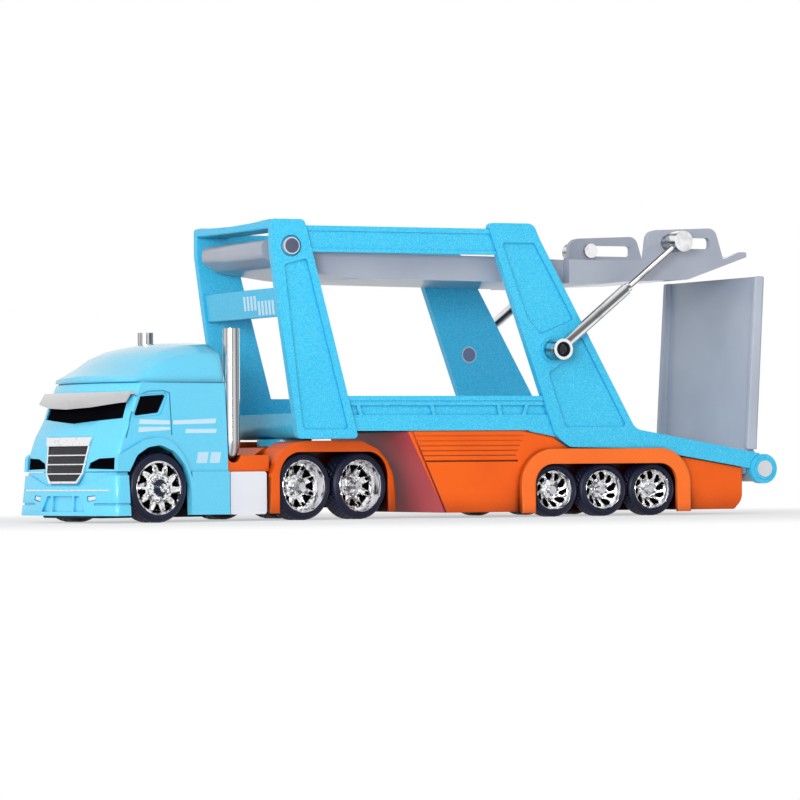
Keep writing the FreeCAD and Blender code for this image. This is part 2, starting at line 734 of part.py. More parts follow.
def cab_section(row, inset):
    """Level section of the cab: flat back and sides, rounded corners, bowed front."""
    z, half, side_x, corner_x, corner_half, nose_x = row
    half -= inset
    side_x -= inset * 0.6
    corner_x -= inset
    corner_half -= inset * 0.5
    nose_x -= inset
    back_x = cab_rear_x + inset
    bend_x = corner_x - 2 * (nose_x - corner_x) * (half - corner_half) / corner_half
    bend_x = max(bend_x, side_x + 0.1)
    left = Part.BezierCurve()
    left.setPoles([V(side_x, half, z), V(bend_x, half, z), V(corner_x, corner_half, z)])
    right = Part.BezierCurve()
    right.setPoles([V(corner_x, -corner_half, z), V(bend_x, -half, z), V(side_x, -half, z)])
    return Part.Wire([
        Part.makeLine(V(back_x, -half, z), V(back_x, half, z)),
        Part.makeLine(V(back_x, half, z), V(side_x, half, z)),
        left.toShape(),
        bow(corner_x, corner_half, nose_x, z),
        right.toShape(),
        Part.makeLine(V(side_x, -half, z), V(back_x, -half, z)),
    ])


def cab_solid(inset):
    return Part.makeLoft([cab_section(row, inset) for row in cab_sections], True, True)


def front_prism(points, x0, x1):
    """Prism along X from half an outline of (y, z) points, mirrored about the middle."""
    whole = list(points) + [(-y, z) for y, z in reversed(points) if y > 0]
    ring = [V(x0, y, z) for y, z in whole]
    return Part.Face(Part.makePolygon(ring + ring[:1])).extrude(V(x1 - x0, 0, 0))


def front_patch(points, x0, x1):
    """Prism along X from a closed outline of (y, z) points."""
    ring = [V(x0, y, z) for y, z in points]
    return Part.Face(Part.makePolygon(ring + ring[:1])).extrude(V(x1 - x0, 0, 0))


def front_arches(y0, y1):
    """Wheel arch openings in the cab's sides."""
    opening = slab([
        (front_axle_x + front_arch_half, cab_bottom - 3, 0),
        (front_axle_x + front_arch_half, 12.4, 3.0),
        (front_axle_x + 6.7, 16.6, 3.0),
        (front_axle_x + 3.3, front_arch_top - 0.5, 3.0),
        (front_axle_x - 0.4, front_arch_top, 3.0),
        (front_axle_x - 4.8, front_arch_top - 1.8, 3.0),
        (front_axle_x - 8.0, 13.6, 4.0),
        (front_axle_x - 9.4, 9.1, 4.0),
        (front_axle_x - 9.6, cab_bottom - 3, 0),
    ], y0, y1)
    return [opening, mirrored(opening)]


def windows(shrink):
    """Windscreen and door windows as prisms through the cab's skin."""
    low = windscreen_bottom + shrink
    high = windscreen_top - shrink
    screen = front_prism([(0, high), (16.6 - shrink, high), (16.9 - shrink, low + 1.2), (0, low)],
                         cab_nose_x - 9.3, cut_front)
    middle = (cab_nose_x - 12.1, 28.9)
    door = []
    for back, z in ((17.3, 31.4), (9.7, 30.9), (7.5, 26.1), (14.7, 26.9)):
        x = cab_nose_x - back
        part = 1 - shrink / 2.2
        door.append((middle[0] + (x - middle[0]) * part, middle[1] + (z - middle[1]) * part, 0.4))
    return [screen, slab(door, -cab_half - 2, cab_half + 2)]


lamp_outline = [(9.3, 13.3), (9.9, 14.7), (13.2, 15.8), (19.0, 16.0), (19.0, 13.1)]
lamp_depth = 0.6
lamp_inset = 0.2

grille_outline = [(9.9, 21.1), (9.2, 18.9), (8.1, 12.2), (6.2, 9.7)]
grille_header_z = 18.9
grille_lean = 0.196
grille_thick = 1.2
grille_rim = 0.55
grille_gap = 0.05


def grille_plate(front, back, half):
    """Leaned plate, front and back counted from the grille's face."""
    lean = grille_lean
    low, high = 9.0, 21.5
    face = cab_nose_x - 1.4 + 21.1 * lean
    return slab([
        (face - front - lean * high, high, 0), (face - front - lean * low, low, 0),
        (face - back - lean * low, low, 0), (face - back - lean * high, high, 0),
    ], -half, half)


def grille_area(grow):
    """The grille's outline grown evenly, as a prism along X."""
    points = []
    for n, (y, z) in enumerate(grille_outline):
        rise = grow if n == 0 else -grow if n == len(grille_outline) - 1 else 0
        points.append((y + grow, z + rise))
    ring = points + [(-y, z) for y, z in reversed(points)]
    return front_patch(ring, cut_back, cut_front)


def cab_shell():
    """Hollow cab with openings for windows, wheels, grille and bumper."""
    shell = cab_solid(0)
    lip = [(12.6, bumper_top, 0), (12.4, 16.4, 1.4), (8.6, 18.2, 6.0), (4.4, 20.3, 6.0),
           (0.2, 20.9, 6.0), (-3.8, 20.0, 6.0), (-6.8, 17.0, 6.0), (-8.8, 13.4, 6.0),
           (-10.3, 9.0, 5.0), (-10.6, cab_bottom, 0), (6.8, cab_bottom, 0), (6.8, bumper_top, 0)]
    flare = slab([(front_axle_x + ahead, z, r) for ahead, z, r in lip], cab_half - 0.7, flare_half)
    skirt_front = front_axle_x - 9.7
    skirt = slab([(skirt_front, bumper_top - 0.2, 0.3), (cab_rear_x, bumper_top - 0.2, 0),
                  (cab_rear_x, cab_bottom, 0), (skirt_front, cab_bottom, 0)],
                 cab_half - 1.2, flare_half)
    shell = fused([shell, flare, mirrored(flare), skirt, mirrored(skirt)])
    room = cab_solid(cab_wall)
    below = room.copy()
    below.translate(V(0, 0, -4))
    shell = shell.cut([room, below])
    arch_skin = tractor_track - tractor_tyre_w - 1.5
    shell = shell.cut(front_arches(arch_skin, flare_half + 1))
    bumper_room = box(cab_nose_x - 6.3, cut_front, -24, 24, -2, bumper_top)
    shell = shell.cut(windows(0) + [bumper_room, grille_area(grille_gap)])
    skin = cab_solid(lamp_depth)
    sunken = [front_patch(lamp_outline, cut_back, cut_front)]
    sunken.append(mirrored(sunken[0]))
    door = [(8.4, 31.0), (12.0, 32.1), (16.4, 32.3), (18.2, 31.7), (18.4, 21.6)]
    corner_line = [(7.0, 27.0), (4.8, 20.9)]
    lines = []
    for line in (door, corner_line):
        lines += groove([(cab_nose_x - back, z) for back, z in line], 0.35, 12, 24)
    shallow = cab_solid(0.3)
    lines = [strip.cut(shallow) for strip in lines]
    rebate = box(cab_rear_x - 1, cut_front, -30, 30, seam_z - 0.3, seam_z + 1).cut(cab_solid(0.4))
    pane_line = [(18.1, 31.9), (9.1, 31.4), (6.7, 25.5), (15.4, 26.3)]
    frame_line = slab([(cab_nose_x - back, z, 0.8) for back, z in pane_line], 12, cab_half + 2)
    frame_line = frame_line.cut(cab_solid(0.35))
    lines += [rebate, frame_line]
    return shell.cut([shape.cut(skin) for shape in sunken] + lines + [mirrored(strip) for strip in lines])


tractor["cab_shell"] = cab_shell()


def headlight():
    """Lamp unit lying in its recess in the front corner."""
    unit = front_patch([(y + (14.4 - y) * 0.012, z + (14.6 - z) * 0.03) for y, z in lamp_outline],
                       cut_back, cut_front)
    return unit.common(cab_solid(lamp_inset)).cut(cab_solid(lamp_depth - skin_gap))


tractor["headlights"] = pair(headlight())


def cab_glazing():
    """Black glass: a band inside the cab with raised panes in the window openings."""
    inside = cab_solid(cab_wall + 0.9)
    band = box(cab_rear_x, cut_front, -30, 30, windscreen_bottom - 1.2, windscreen_top + 1.8)
    outer = cab_solid(cab_wall + skin_gap).common(band)
    raised = cab_solid(0.45)
    panes = [raised.common(shape) for shape in windows(0.06)]
    return fused([outer] + panes).cut(inside)


tractor["cab_glazing"] = cab_glazing()


def grille():
    """Leaned grille: header, rim and three bars."""
    area = grille_area(0)
    panel = grille_plate(0, grille_thick, 12).common(area)
    holes = []
    inner = grille_area(-grille_rim)
    for low, high in ((16.8, grille_header_z), (14.55, 16.5), (12.25, 14.25), (9.0, 11.95)):
        holes.append(inner.common(box(cut_back, cut_front, -12, 12, low, high)))
    behind = inner.common(box(cut_back, cut_front, -12, 12, 9.0, grille_header_z))
    behind = behind.common(grille_plate(grille_thick / 2, grille_thick + 1, 12))
    header = grille_plate(-0.25, 0.5, 12).common(area)
    header = header.common(box(cut_back, cut_front, -12, 12, grille_header_z, 22))
    return fused([panel.cut(holes).cut(behind), header])


tractor["grille"] = grille()


def grille_mesh():
    """Black plate behind the bars."""
    area = grille_area(-grille_rim - skin_gap)
    area = area.common(box(cut_back, cut_front, -12, 12, 9.0, grille_header_z - skin_gap))
    return area.common(grille_plate(grille_thick / 2 + skin_gap, grille_thick, 12))


tractor["grille_mesh"] = grille_mesh()


def bumper():
    """Bowed bumper with a stepped upper edge, an intake and two small lamp recesses."""
    end_x = front_axle_x + front_arch_half + 0.1

    def section(inset, z):
        down = (bumper_top - z) / (bumper_top - cab_bottom)
        half = bumper_half + bumper_flare * down - inset
        corner_x = cab_sections[0][3] + bumper_proud + 0.7 * down - inset
        corner_y = half - 1.2
        nose = cab_nose_x + bumper_nose_proud + 0.8 * down - inset
        left = Part.BezierCurve()
        left.setPoles([V(corner_x - 1.4, half, z), V(corner_x - 0.3, half, z), V(corner_x, corner_y, z)])
        right = Part.BezierCurve()
        right.setPoles([V(corner_x, -corner_y, z), V(corner_x - 0.3, -half, z),
                        V(corner_x - 1.4, -half, z)])
        return Part.Wire([
            Part.makeLine(V(end_x, -half, z), V(end_x, half, z)),
            Part.makeLine(V(end_x, half, z), V(corner_x - 1.4, half, z)),
            left.toShape(),
            bow(corner_x, corner_y, nose, z),
            right.toShape(),
            Part.makeLine(V(corner_x - 1.4, -half, z), V(end_x, -half, z)),
        ])

    def body(inset, z0, z1):
        return Part.makeLoft([section(inset, z0), section(inset, z1)], True, True)

    top = bumper_top - bumper_seam
    shell = body(0, cab_bottom, top).cut(body(cab_wall, cab_bottom - 1, top + 1))
    above_crease = front_prism([(0, 16), (24, 16), (24, 11.7), (16.3, 11.7), (13.3, 10.8), (7.2, 9.1),
                                (0, 9.1)], cut_back, cut_front)
    step = above_crease.cut(body(0.55, cab_bottom, top + 1))
    intake = front_prism([(0, 6.6), (7.0, 6.6), (9.4, 2.8), (0, 2.8)], cut_back, cut_front)
    posts = box(cut_back, cut_front, 4.2, 5.0, 2, 7)
    intake = intake.cut([posts, mirrored(posts)]).cut(body(0.7, 0, 14))
    lamp = front_patch([(10.4, 5.2), (10.1, 6.6), (13.2, 6.8), (13.7, 5.7)], cut_back, cut_front)
    lamp = lamp.cut(body(0.5, 0, 14))
    lip = box(cut_back, cut_front, 13.0, 24, 4.4, 4.9).cut(body(0.35, 0, 14))
    grille_room = grille_area(grille_gap).cut(grille_plate(grille_thick + grille_gap, 9, 24))
    grille_room = grille_room.common(grille_plate(-4, grille_thick + grille_gap, 24))
    return shell.cut([step, intake, lamp, mirrored(lamp), lip, mirrored(lip), grille_room])


tractor["bumper"] = bumper()

# Cross sections of the roof cap, rear to front:
# X, half width at the seam, crease half width and height, shoulder half width and height, crown height
roof_sections = [
    (cab_rear_x, 18.6, 17.5, 40.4, 13.2, 42.7, 43.3),
    (cab_rear_x + 1.2, 18.6, 17.6, 41.6, 13.5, 43.9, 44.6),
    (cab_rear_x + 7.8, 18.6, 17.6, 41.5, 13.5, 43.6, 44.4),
    (cab_rear_x + 13.8, 18.5, 17.6, 40.6, 13.5, 42.5, 43.4),
    (cab_nose_x - 16.3, 18.4, 17.6, 39.0, 13.5, 40.6, 41.7),
    (cab_nose_x - 12.1, 18.2, 17.3, 36.9, 13.5, 37.9, 39.5),
    (cab_nose_x - 9.3, 18.0, 17.0, 35.6, 13.5, 36.1, 37.6),
    (cab_nose_x - 6.8, 18.0, 16.6, 35.1, 12.0, 35.5, 36.3),
    (cab_nose_x - 3.8, 18.0, 16.0, 34.9, 12.0, 35.1, 35.5),
]


def roof_loft(inset, first_x, rows):
    wires = []
    for n, (x, seam, crease, crease_z, shoulder, shoulder_z, crown_z) in enumerate(rows):
        x = first_x if n == 0 else x
        low = seam_z if inset == 0 else seam_z - 1
        points = [V(x, seam - inset, low), V(x, crease - inset, crease_z - inset),
                  V(x, shoulder - inset, shoulder_z - inset)]
        other = [V(x, -p.y, p.z) for p in reversed(points)]
        crown = Part.BezierCurve()
        crown.setPoles([points[2], V(x, 0, 2 * (crown_z - inset) - points[2].z), other[0]])
        wires.append(Part.Wire([
            Part.makeLine(points[0], points[1]), Part.makeLine(points[1], points[2]),
            crown.toShape(), Part.makeLine(other[0], other[1]), Part.makeLine(other[1], other[2]),
            Part.makeLine(other[2], points[0]),
        ]))
    return Part.makeLoft(wires, True, True)


def roof_cap():
    """Raised roof that falls towards the bowed front edge."""
    z, half, side_x, corner_x, corner_half, nose_x = cab_sections[-1]
    row = (seam_z, half + 0.2, side_x + 0.5, corner_x + 0.4, corner_half, nose_x + 0.3)
    plan = Part.Face(cab_section(row, 0))
    body = roof_loft(0, cab_rear_x, roof_sections).common(plan.extrude(V(0, 0, 12)))
    return body.cut(roof_loft(cab_wall, cab_rear_x + cab_wall, roof_sections[1:6]))


tractor["roof_cap"] = roof_cap()


def visor():
    """Bowed sun visor over the windscreen, joined to the cab by its upper edge."""
    half = cab_half - 1.3
    low, high = 27.2, visor_top
    root_x = cab_nose_x - 17.3

    def wedge(shift, z0, z1):
        wires = []
        for z in (z0, z1):
            side_x = cab_nose_x - 6.5 + 0.69 * (visor_top - z) - shift
            nose_x = cab_nose_x - 3.5 + 0.75 * (visor_top - z) - shift
            wires.append(Part.Wire([
                Part.makeLine(V(root_x, -half, z), V(root_x, half, z)),
                Part.makeLine(V(root_x, half, z), V(side_x, half, z)),
                bow(side_x, half, nose_x, z),
                Part.makeLine(V(side_x, -half, z), V(root_x, -half, z)),
            ]))
        return Part.makeLoft(wires, True, True)

    under = front_prism([(0, 20), (24, 20), (24, 30.1), (18.5, 29.4), (9.0, 28.3), (0, 27.9)],
                        root_x - 5, cut_front)
    whole = wedge(0, low, high).cut(wedge(0.9, low - 2, high - 0.7))
    front_only = box(cab_nose_x - 8.7, cut_front, -30, 30, 20, 40)
    return whole.common(front_only).cut([under, cab_solid(-skin_gap)])


tractor["visor"] = visor()


def stack():
    """Upright exhaust pipe behind the cab, its foot bent inwards."""
    top = Part.makeCylinder(stack_r, stack_top - stack_bend_z, V(stack_x, stack_y, stack_bend_z), UP)
    ring = Part.Face(Part.Wire(Part.makeCircle(stack_r, V(stack_x, stack_y, stack_bend_z), UP)))
    bend = ring.revolve(V(stack_x, stack_y - stack_bend_r, stack_bend_z), V(1, 0, 0), -90)
    foot_z = stack_bend_z - stack_bend_r
    foot = Part.makeCylinder(stack_r, stack_y - stack_bend_r - block_half,
                             V(stack_x, block_half, foot_z), LEFT)
    bore = Part.makeCylinder(stack_r - stack_wall, 6.0, V(stack_x, stack_y, stack_top - 5.0), UP)
    return fused([top, bend, foot]).cut(bore)


tractor["exhaust_stacks"] = pair(stack())


def tractor_frame():
    """Orange rear frame: bed, step behind the cab, block between the stacks, two mudguards."""
    guard = slab([(x, z, 3.0 if 3 < z else 0) for x, z in (
        (20.3, cab_bottom), (19.7, 11.4), (18.3, 14.6), (16.0, 17.6), (13.0, 19.4),
        (9.0, fender_top), (-8.6, fender_top), (-13.9, 17.7), (-16.8, 14.9), (-18.7, 11.4),
        (-19.3, 7.3), (fender_rear_x, cab_bottom))], bed_half, fender_outer)

    def drive_arch(grow, y0, y1):
        return slab([
            (drive_arch_front_x + grow, cab_bottom - 3, 0),
            (drive_arch_front_x + grow, drive_arch_top + grow, 6.5 + grow),
            (drive_arch_rear_x - grow, drive_arch_top + grow, 6.5 + grow),
            (drive_arch_rear_x - grow, cab_bottom - 3, 0),
        ], y0, y1)

    guard = guard.cut([drive_arch(0, bed_half - 1, fender_outer + 1),
                       drive_arch(drive_arch_relief, bed_half, guard_back)])
    bed = slab([
        (cab_rear_x - 0.2, 3.0, 0),
        (cab_rear_x - 0.2, step_top, 0),
        (bed_front_x, step_top, 1.0),
        (bed_front_x - 3.0, bed_top, 1.0),
        (fender_rear_x + 2.5, bed_top, 1.0),
        (fender_rear_x + 0.5, 11.0, 1.0),
        (fender_rear_x + 0.5, 3.0, 0),
    ], -bed_half, bed_half)
    hollow = box(fender_rear_x + 2.5, cab_rear_x - 2.0, -bed_half + 1.4, bed_half - 1.4,
                 0, step_top - 2.0)
    room = box(-8.0, bed_front_x - 4.5, -bed_half + 1.4, bed_half - 1.4, 0, bed_top - bed_plate)
    step = box(bed_front_x, cab_rear_x - 0.2, -19.3, 19.3, tank_top, step_top)
    block = box(25.0, cab_rear_x - 0.9, -block_half, block_half, step_top - 2.0, block_top)
    frame = fused([bed.cut([hollow, room]), step, block, guard, mirrored(guard)])
    cuts = [Part.makeCylinder(kingpin_r + axle_play, 8.0, V(0, 0, bed_top - 6.5), UP)]
    for i in range(2):
        x = drive_axle_x - i * drive_axle_pitch
        cuts.append(rod_y(x, tractor_tyre_r, axle_r + axle_play, -30, 30))
    foot_z = stack_bend_z - stack_bend_r
    pipe = Part.makeCylinder(stack_r + skin_gap, 10.0, V(stack_x, block_half, foot_z), LEFT)
    cuts += [pipe, mirrored(pipe)]
    return frame.cut(cuts)


tractor["tractor_frame"] = tractor_frame()


def side_tank():
    return slab([
        (tank_front_x, tank_bottom, 0.8),
        (tank_front_x, tank_top, 0.8),
        (tank_rear_x, tank_top, 0.8),
        (tank_rear_x, tank_bottom, 0.8),
    ], tank_inner, tank_outer)


tractor["side_tanks"] = pair(side_tank())


def tractor_base():
    """Black base under the cab that carries the front axle."""
    rear = cab_rear_x + cab_wall + 0.1
    plank = slab([
        (cab_nose_x - 1.4, 1.2, 0.5),
        (cab_nose_x - 1.4, 3.4, 0.5),
        (rear, 3.4, 0),
        (rear, 1.2, 0.5),
    ], -12.0, 12.0)
    block = box(rear, cab_nose_x - 5.3, -10.0, 10.0, 3.0, 17.0)
    hole = rod_y(front_axle_x, tractor_tyre_r, axle_r + axle_play, -30, 30)
    return fused([plank, block]).cut(hole)


tractor["tractor_base"] = tractor_base()


# ---------------------------------------------------------------- wheels
def tyre(outer_r, rim_r, width, y_out):
    """Low-profile tyre as a ring with rounded shoulders, its outer face at y_out."""
    y0 = y_out - width
    shoulder = 0.9
    section = [
        (y0 + 0.3, rim_r), (y0, rim_r + 0.5), (y0, outer_r - shoulder), (y0 + shoulder, outer_r),
        (y_out - shoulder, outer_r), (y_out, outer_r - shoulder), (y_out, rim_r + 0.5),
        (y_out - 0.3, rim_r),
    ]
    points = [V(0, y, r) for y, r in section]
    face = Part.Face(Part.makePolygon(points + points[:1]))
    return face.revolve(V(0, 0, 0), LEFT, 360)


def rim(rim_r, width, y_out):
    """Deep-dish wheel: barrel, lip and a sunken face with a hub."""
    y0 = y_out - width + 0.3
    dish = 1.6
    section = [
        (y0, axle_r), (y0, rim_r), (y_out - 0.3, rim_r), (y_out - 0.1, rim_r - 0.5),
        (y_out - 0.3, rim_r - 0.8), (y_out - dish, rim_r - 1.3), (y_out - dish, 1.9),
        (y_out - 0.9, 1.6), (y_out - 0.9, axle_r),
    ]
    points = [V(0, y, r) for y, r in section]
    face = Part.Face(Part.makePolygon(points + points[:1]))
    return face.revolve(V(0, 0, 0), LEFT, 360)


def axle_set(name, x, tyre_r, rim_r, width, track, target):
    """Shaft, two rims and two tyres that turn together."""
    shaft = rod_y(0, 0, axle_r, -(track - 0.9), track - 0.9)
    rims = pair(rim(rim_r, width, track))
    tyres = pair(tyre(tyre_r, rim_r, width, track))
    for label, shape in (("axle", shaft), ("rims", rims), ("tyres", tyres)):
        shape.translate(V(x, 0, tyre_r))
        target[name + "_" + label] = shape


axle_set("front", front_axle_x, tractor_tyre_r, tractor_rim_r, tractor_tyre_w, tractor_track, tractor)
for i in range(2):
    axle_set("drive_%d" % (i + 1), drive_axle_x - i * drive_axle_pitch, tractor_tyre_r,
             tractor_rim_r, tractor_tyre_w, tractor_track, tractor)
for i in range(trailer_axles):
    axle_set("trailer_%d" % (i + 1), trailer_axle_x - i * trailer_axle_pitch, trailer_tyre_r,
             trailer_rim_r, trailer_tyre_w, trailer_track, pieces)

# ---------------------------------------------------------------- placing and writing
for name, shape in tractor.items():
    shape.rotate(V(0, 0, 0), UP, tractor_turn)
    pieces[name] = shape

whole = FreeCAD.BoundBox()
for shape in pieces.values():
    whole.add(shape.optimalBoundingBox(False))
shift = V(-(whole.XMin + whole.XMax) / 2, -(whole.YMin + whole.YMax) / 2, 0)

os.makedirs("parts", exist_ok=True)
for name, shape in pieces.items():
    shape.translate(shift)
    shape.exportStep("parts/%s.step" % name)

print("box %.2f %.2f %.2f  bottom %.3f" % (whole.XLength, whole.YLength, whole.ZLength, whole.ZMin))
print("kingpin at %.4f %.4f" % (shift.x, shift.y))
print("strut rise %.3f length %.3f" % (strut_rise, strut_length))
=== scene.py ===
import bmesh
import bpy
import json
import math
from collections import namedtuple
from mathutils import Matrix, Vector


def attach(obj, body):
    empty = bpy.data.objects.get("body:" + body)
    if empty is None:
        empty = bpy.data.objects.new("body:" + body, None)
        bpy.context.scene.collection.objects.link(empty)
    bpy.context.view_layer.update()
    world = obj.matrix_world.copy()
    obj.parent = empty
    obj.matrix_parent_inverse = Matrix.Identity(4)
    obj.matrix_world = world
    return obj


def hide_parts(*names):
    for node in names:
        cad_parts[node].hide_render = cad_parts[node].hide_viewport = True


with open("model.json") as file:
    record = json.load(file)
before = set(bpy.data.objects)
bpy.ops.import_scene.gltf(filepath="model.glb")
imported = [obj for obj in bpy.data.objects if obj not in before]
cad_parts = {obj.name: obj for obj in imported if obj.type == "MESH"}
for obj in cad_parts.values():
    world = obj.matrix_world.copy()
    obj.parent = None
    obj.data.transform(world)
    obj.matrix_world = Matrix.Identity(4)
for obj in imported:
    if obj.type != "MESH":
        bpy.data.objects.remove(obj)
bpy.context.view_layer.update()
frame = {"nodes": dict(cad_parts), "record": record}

MM = 0.001
joints = {joint["name"]: joint for joint in frame["record"]["behaviour"]["joints"]}
KING = Vector(joints["kingpin_turn"]["pos_m"])
KING.z = 0.0                                   # the ground under the kingpin
TRACTOR_TURN = math.radians(12.5)              # the tractor stands turned about the kingpin

bpy.context.scene.view_settings.view_transform = "Standard"


# ---------------------------------------------------------------- camera
def camera():
    """Low three-quarter view through a long lens, turned by yaw from the vehicle's left side towards its
    front. The kingpin's foot lies at the distance, across to the right of the line of sight and below it
    by rise."""
    yaw, pitch, roll = math.radians(25.823), math.radians(0.889), math.radians(-0.468)
    distance, across, rise, lens = 1.0812, -0.02939, 0.03048, 190.38
    ahead = Vector((-math.sin(yaw) * math.cos(pitch), -math.cos(yaw) * math.cos(pitch), math.sin(pitch)))
    level = Vector((-math.cos(yaw), math.sin(yaw), 0.0))
    upright = level.cross(ahead)
    right = level * math.cos(roll) + upright * math.sin(roll)
    up = -level * math.sin(roll) + upright * math.cos(roll)
    place = KING - (ahead * distance + right * across - up * rise)
    data = bpy.data.cameras.new("view")
    data.lens = lens
    data.sensor_width = 36.0
    data.clip_start = 0.05
    data.clip_end = 20.0
    view = bpy.data.objects.new("view", data)
    view.matrix_world = Matrix.Translation(place) @ Matrix((right, up, -ahead)).transposed().to_4x4()
    bpy.context.scene.collection.objects.link(view)
    bpy.context.scene.camera = view


camera()

# ---------------------------------------------------------------- building materials
PURE_WHITE = (1.0, 1.0, 1.0)                   # where it multiplies a colour, that colour stays


def node(tree, kind, **values):
    """A new node; each value goes to its setting or its input of that name, with _ for a space."""
    made = tree.nodes.new(kind)
    for key, value in values.items():
        if hasattr(made, key):
            setattr(made, key, value)
        else:
            made.inputs[key.replace("_", " ")].default_value = value
    return made


class Finish:
    """A procedural material whose parts are added step by step."""

    def __init__(self, name, colour, rough, metal=0.0, coat=0.0, spec=0.5):
        self.mat = bpy.data.materials.new(name)
        self.mat.use_nodes = True
        self.tree = self.mat.node_tree
        self.shader = self.tree.nodes["Principled BSDF"]
        self.shader.inputs["Base Color"].default_value = (*colour, 1.0)
        self.shader.inputs["Roughness"].default_value = rough
        self.shader.inputs["Metallic"].default_value = metal
        self.shader.inputs["Coat Weight"].default_value = coat
        self.shader.inputs["Coat Roughness"].default_value = 0.06
        self.shader.inputs["Specular IOR Level"].default_value = spec
        places = node(self.tree, "ShaderNodeTexCoord")
        self.where = places.outputs["Object"]
        self.facing = places.outputs["Normal"]
        self.normal = None

    def link(self, source, target):
        self.tree.links.new(source, target)

    def stretched(self, scale, shift=(0.0, 0.0, 0.0)):
        """Object coordinates, scaled and then shifted."""
        made = node(self.tree, "ShaderNodeMapping", Location=shift, Scale=scale)
        self.link(self.where, made.inputs["Vector"])
        return made.outputs["Vector"]

    def axis(self, source, letter):
        """One of a vector's three parts."""
        made = node(self.tree, "ShaderNodeSeparateXYZ")
        self.link(source, made.inputs["Vector"])
        return made.outputs[letter]

    def measured(self, source, operation, other=None):
        """A number from a vector, such as its length, or its dot product with another."""
        made = node(self.tree, "ShaderNodeVectorMath", operation=operation)
        self.link(source, made.inputs[0])
        if other:
            made.inputs[1].default_value = other
        return made.outputs["Value"]

    def noise(self, scale, detail=3.0, rough=0.5, where=None):
        made = node(self.tree, "ShaderNodeTexNoise", Scale=scale, Detail=detail, Roughness=rough)
        self.link(where or self.where, made.inputs["Vector"])
        return made.outputs["Fac"]

    def ramp(self, source, stops):
        """Colours at places from 0 to 1 of the source."""
        made = node(self.tree, "ShaderNodeValToRGB")
        elements = made.color_ramp.elements
        while len(elements) < len(stops):
            elements.new(0.5)
        for element, (place, colour) in zip(elements, stops):
            element.position = place
            element.color = (*colour, 1.0)
        self.link(source, made.inputs["Fac"])
        return made.outputs["Color"]

    def span(self, source, start, end, low=0.0, high=1.0, shape="LINEAR"):
        """Low up to start, high from end on, and even between them."""
        made = node(self.tree, "ShaderNodeMapRange", interpolation_type=shape, From_Min=start, From_Max=end,
                    To_Min=low, To_Max=high)
        self.link(source, made.inputs["Value"])
        return made.outputs["Result"]

    def hollows(self, reach, stops):
        """Painted shade for grooves and inner corners: colours from how shut in the surface is within a
        short reach.
        """
        made = node(self.tree, "ShaderNodeAmbientOcclusion", Distance=reach, samples=8)
        return self.ramp(made.outputs["AO"], stops)

    def product(self, a, b):
        made = node(self.tree, "ShaderNodeMath", operation="MULTIPLY")
        self.link(a, made.inputs[0])
        self.link(b, made.inputs[1])
        return made.outputs["Value"]

    def mix(self, a, b, factor=1.0, blend="MULTIPLY"):
        made = node(self.tree, "ShaderNodeMix", data_type="RGBA", blend_type=blend)
        colours = [socket for socket in made.inputs if socket.type == "RGBA"]
        if isinstance(factor, float):
            made.inputs["Factor"].default_value = factor
        else:
            self.link(factor, made.inputs["Factor"])
        for socket, value in zip(colours, (a, b)):
            if isinstance(value, tuple):
                socket.default_value = (*value, 1.0)
            else:
                self.link(value, socket)
        return [socket for socket in made.outputs if socket.type == "RGBA"][0]

    def colour_from(self, source):
        self.link(source, self.shader.inputs["Base Color"])

    def rough_from(self, scale, low, high):
        """Roughness that wanders between two values."""
        self.link(self.span(self.noise(scale), 0.0, 1.0, low, high), self.shader.inputs["Roughness"])

    def round_corners(self, radius, samples):
        """Corners rounded in shading alone; comes before the bump."""
        self.normal = node(self.tree, "ShaderNodeBevel", Radius=radius, samples=samples).outputs["Normal"]

    def bump(self, source, height):
        made = node(self.tree, "ShaderNodeBump", Distance=height, Strength=0.5)
        self.link(source, made.inputs["Height"])
        if self.normal:
            self.link(self.normal, made.inputs["Normal"])
        self.link(made.outputs["Normal"], self.shader.inputs["Normal"])


def flake_paint(name, tones, scale, rough, coat, share, edge=0.0, nook=0.0):
    """Moulded colour with a dense grain of fine flakes under a clear skin. The tones are the base, the
    flakes' and a cloudy deeper one; edge rounds corners in shading, and nook paints shade into the grooves."""
    base, bright, deep = tones
    groove_shade = (0.26, 0.50, 0.62)
    made = Finish(name, base, rough, 0.0, coat, 0.25)
    cells = node(made.tree, "ShaderNodeTexVoronoi", Scale=scale)
    made.link(made.where, cells.inputs["Vector"])
    flakes = made.ramp(cells.outputs["Color"], [(0.20, base), (1.0 - share, base), (1.0, bright)])
    colour = made.mix(flakes, made.ramp(made.noise(55.0), [(0.30, deep), (0.62, PURE_WHITE)]))
    # painted shade in the grooves and inner corners, within nook's reach
    if nook:
        colour = made.mix(colour, made.hollows(nook, [(0.30, groove_shade), (0.80, PURE_WHITE)]))
    made.colour_from(colour)
    if edge:
        made.round_corners(edge, 6)
    made.bump(made.noise(2400.0, 2.0), 0.00002)
    return made.mat


def shaded_wells(made, tone, reach):
    """The tone with painted shade in the hollows round the wheels and on the faces that look down."""
    hollow_tone, under_tone = (0.03, 0.02, 0.04), (0.16, 0.14, 0.16)
    full_below, none_above = 0.017, 0.020      # heights, from the tops of the tractor's tyres
    hollow = made.hollows(reach, [(0.34, hollow_tone), (0.72, PURE_WHITE)])
    low = made.span(made.axis(made.where, "Z"), full_below, none_above, 1.0, 0.0)
    looks_down = made.span(made.axis(made.facing, "Z"), -0.8, -0.4, 1.0, 0.0)
    return made.mix(made.mix(tone, hollow, low), under_tone, looks_down)


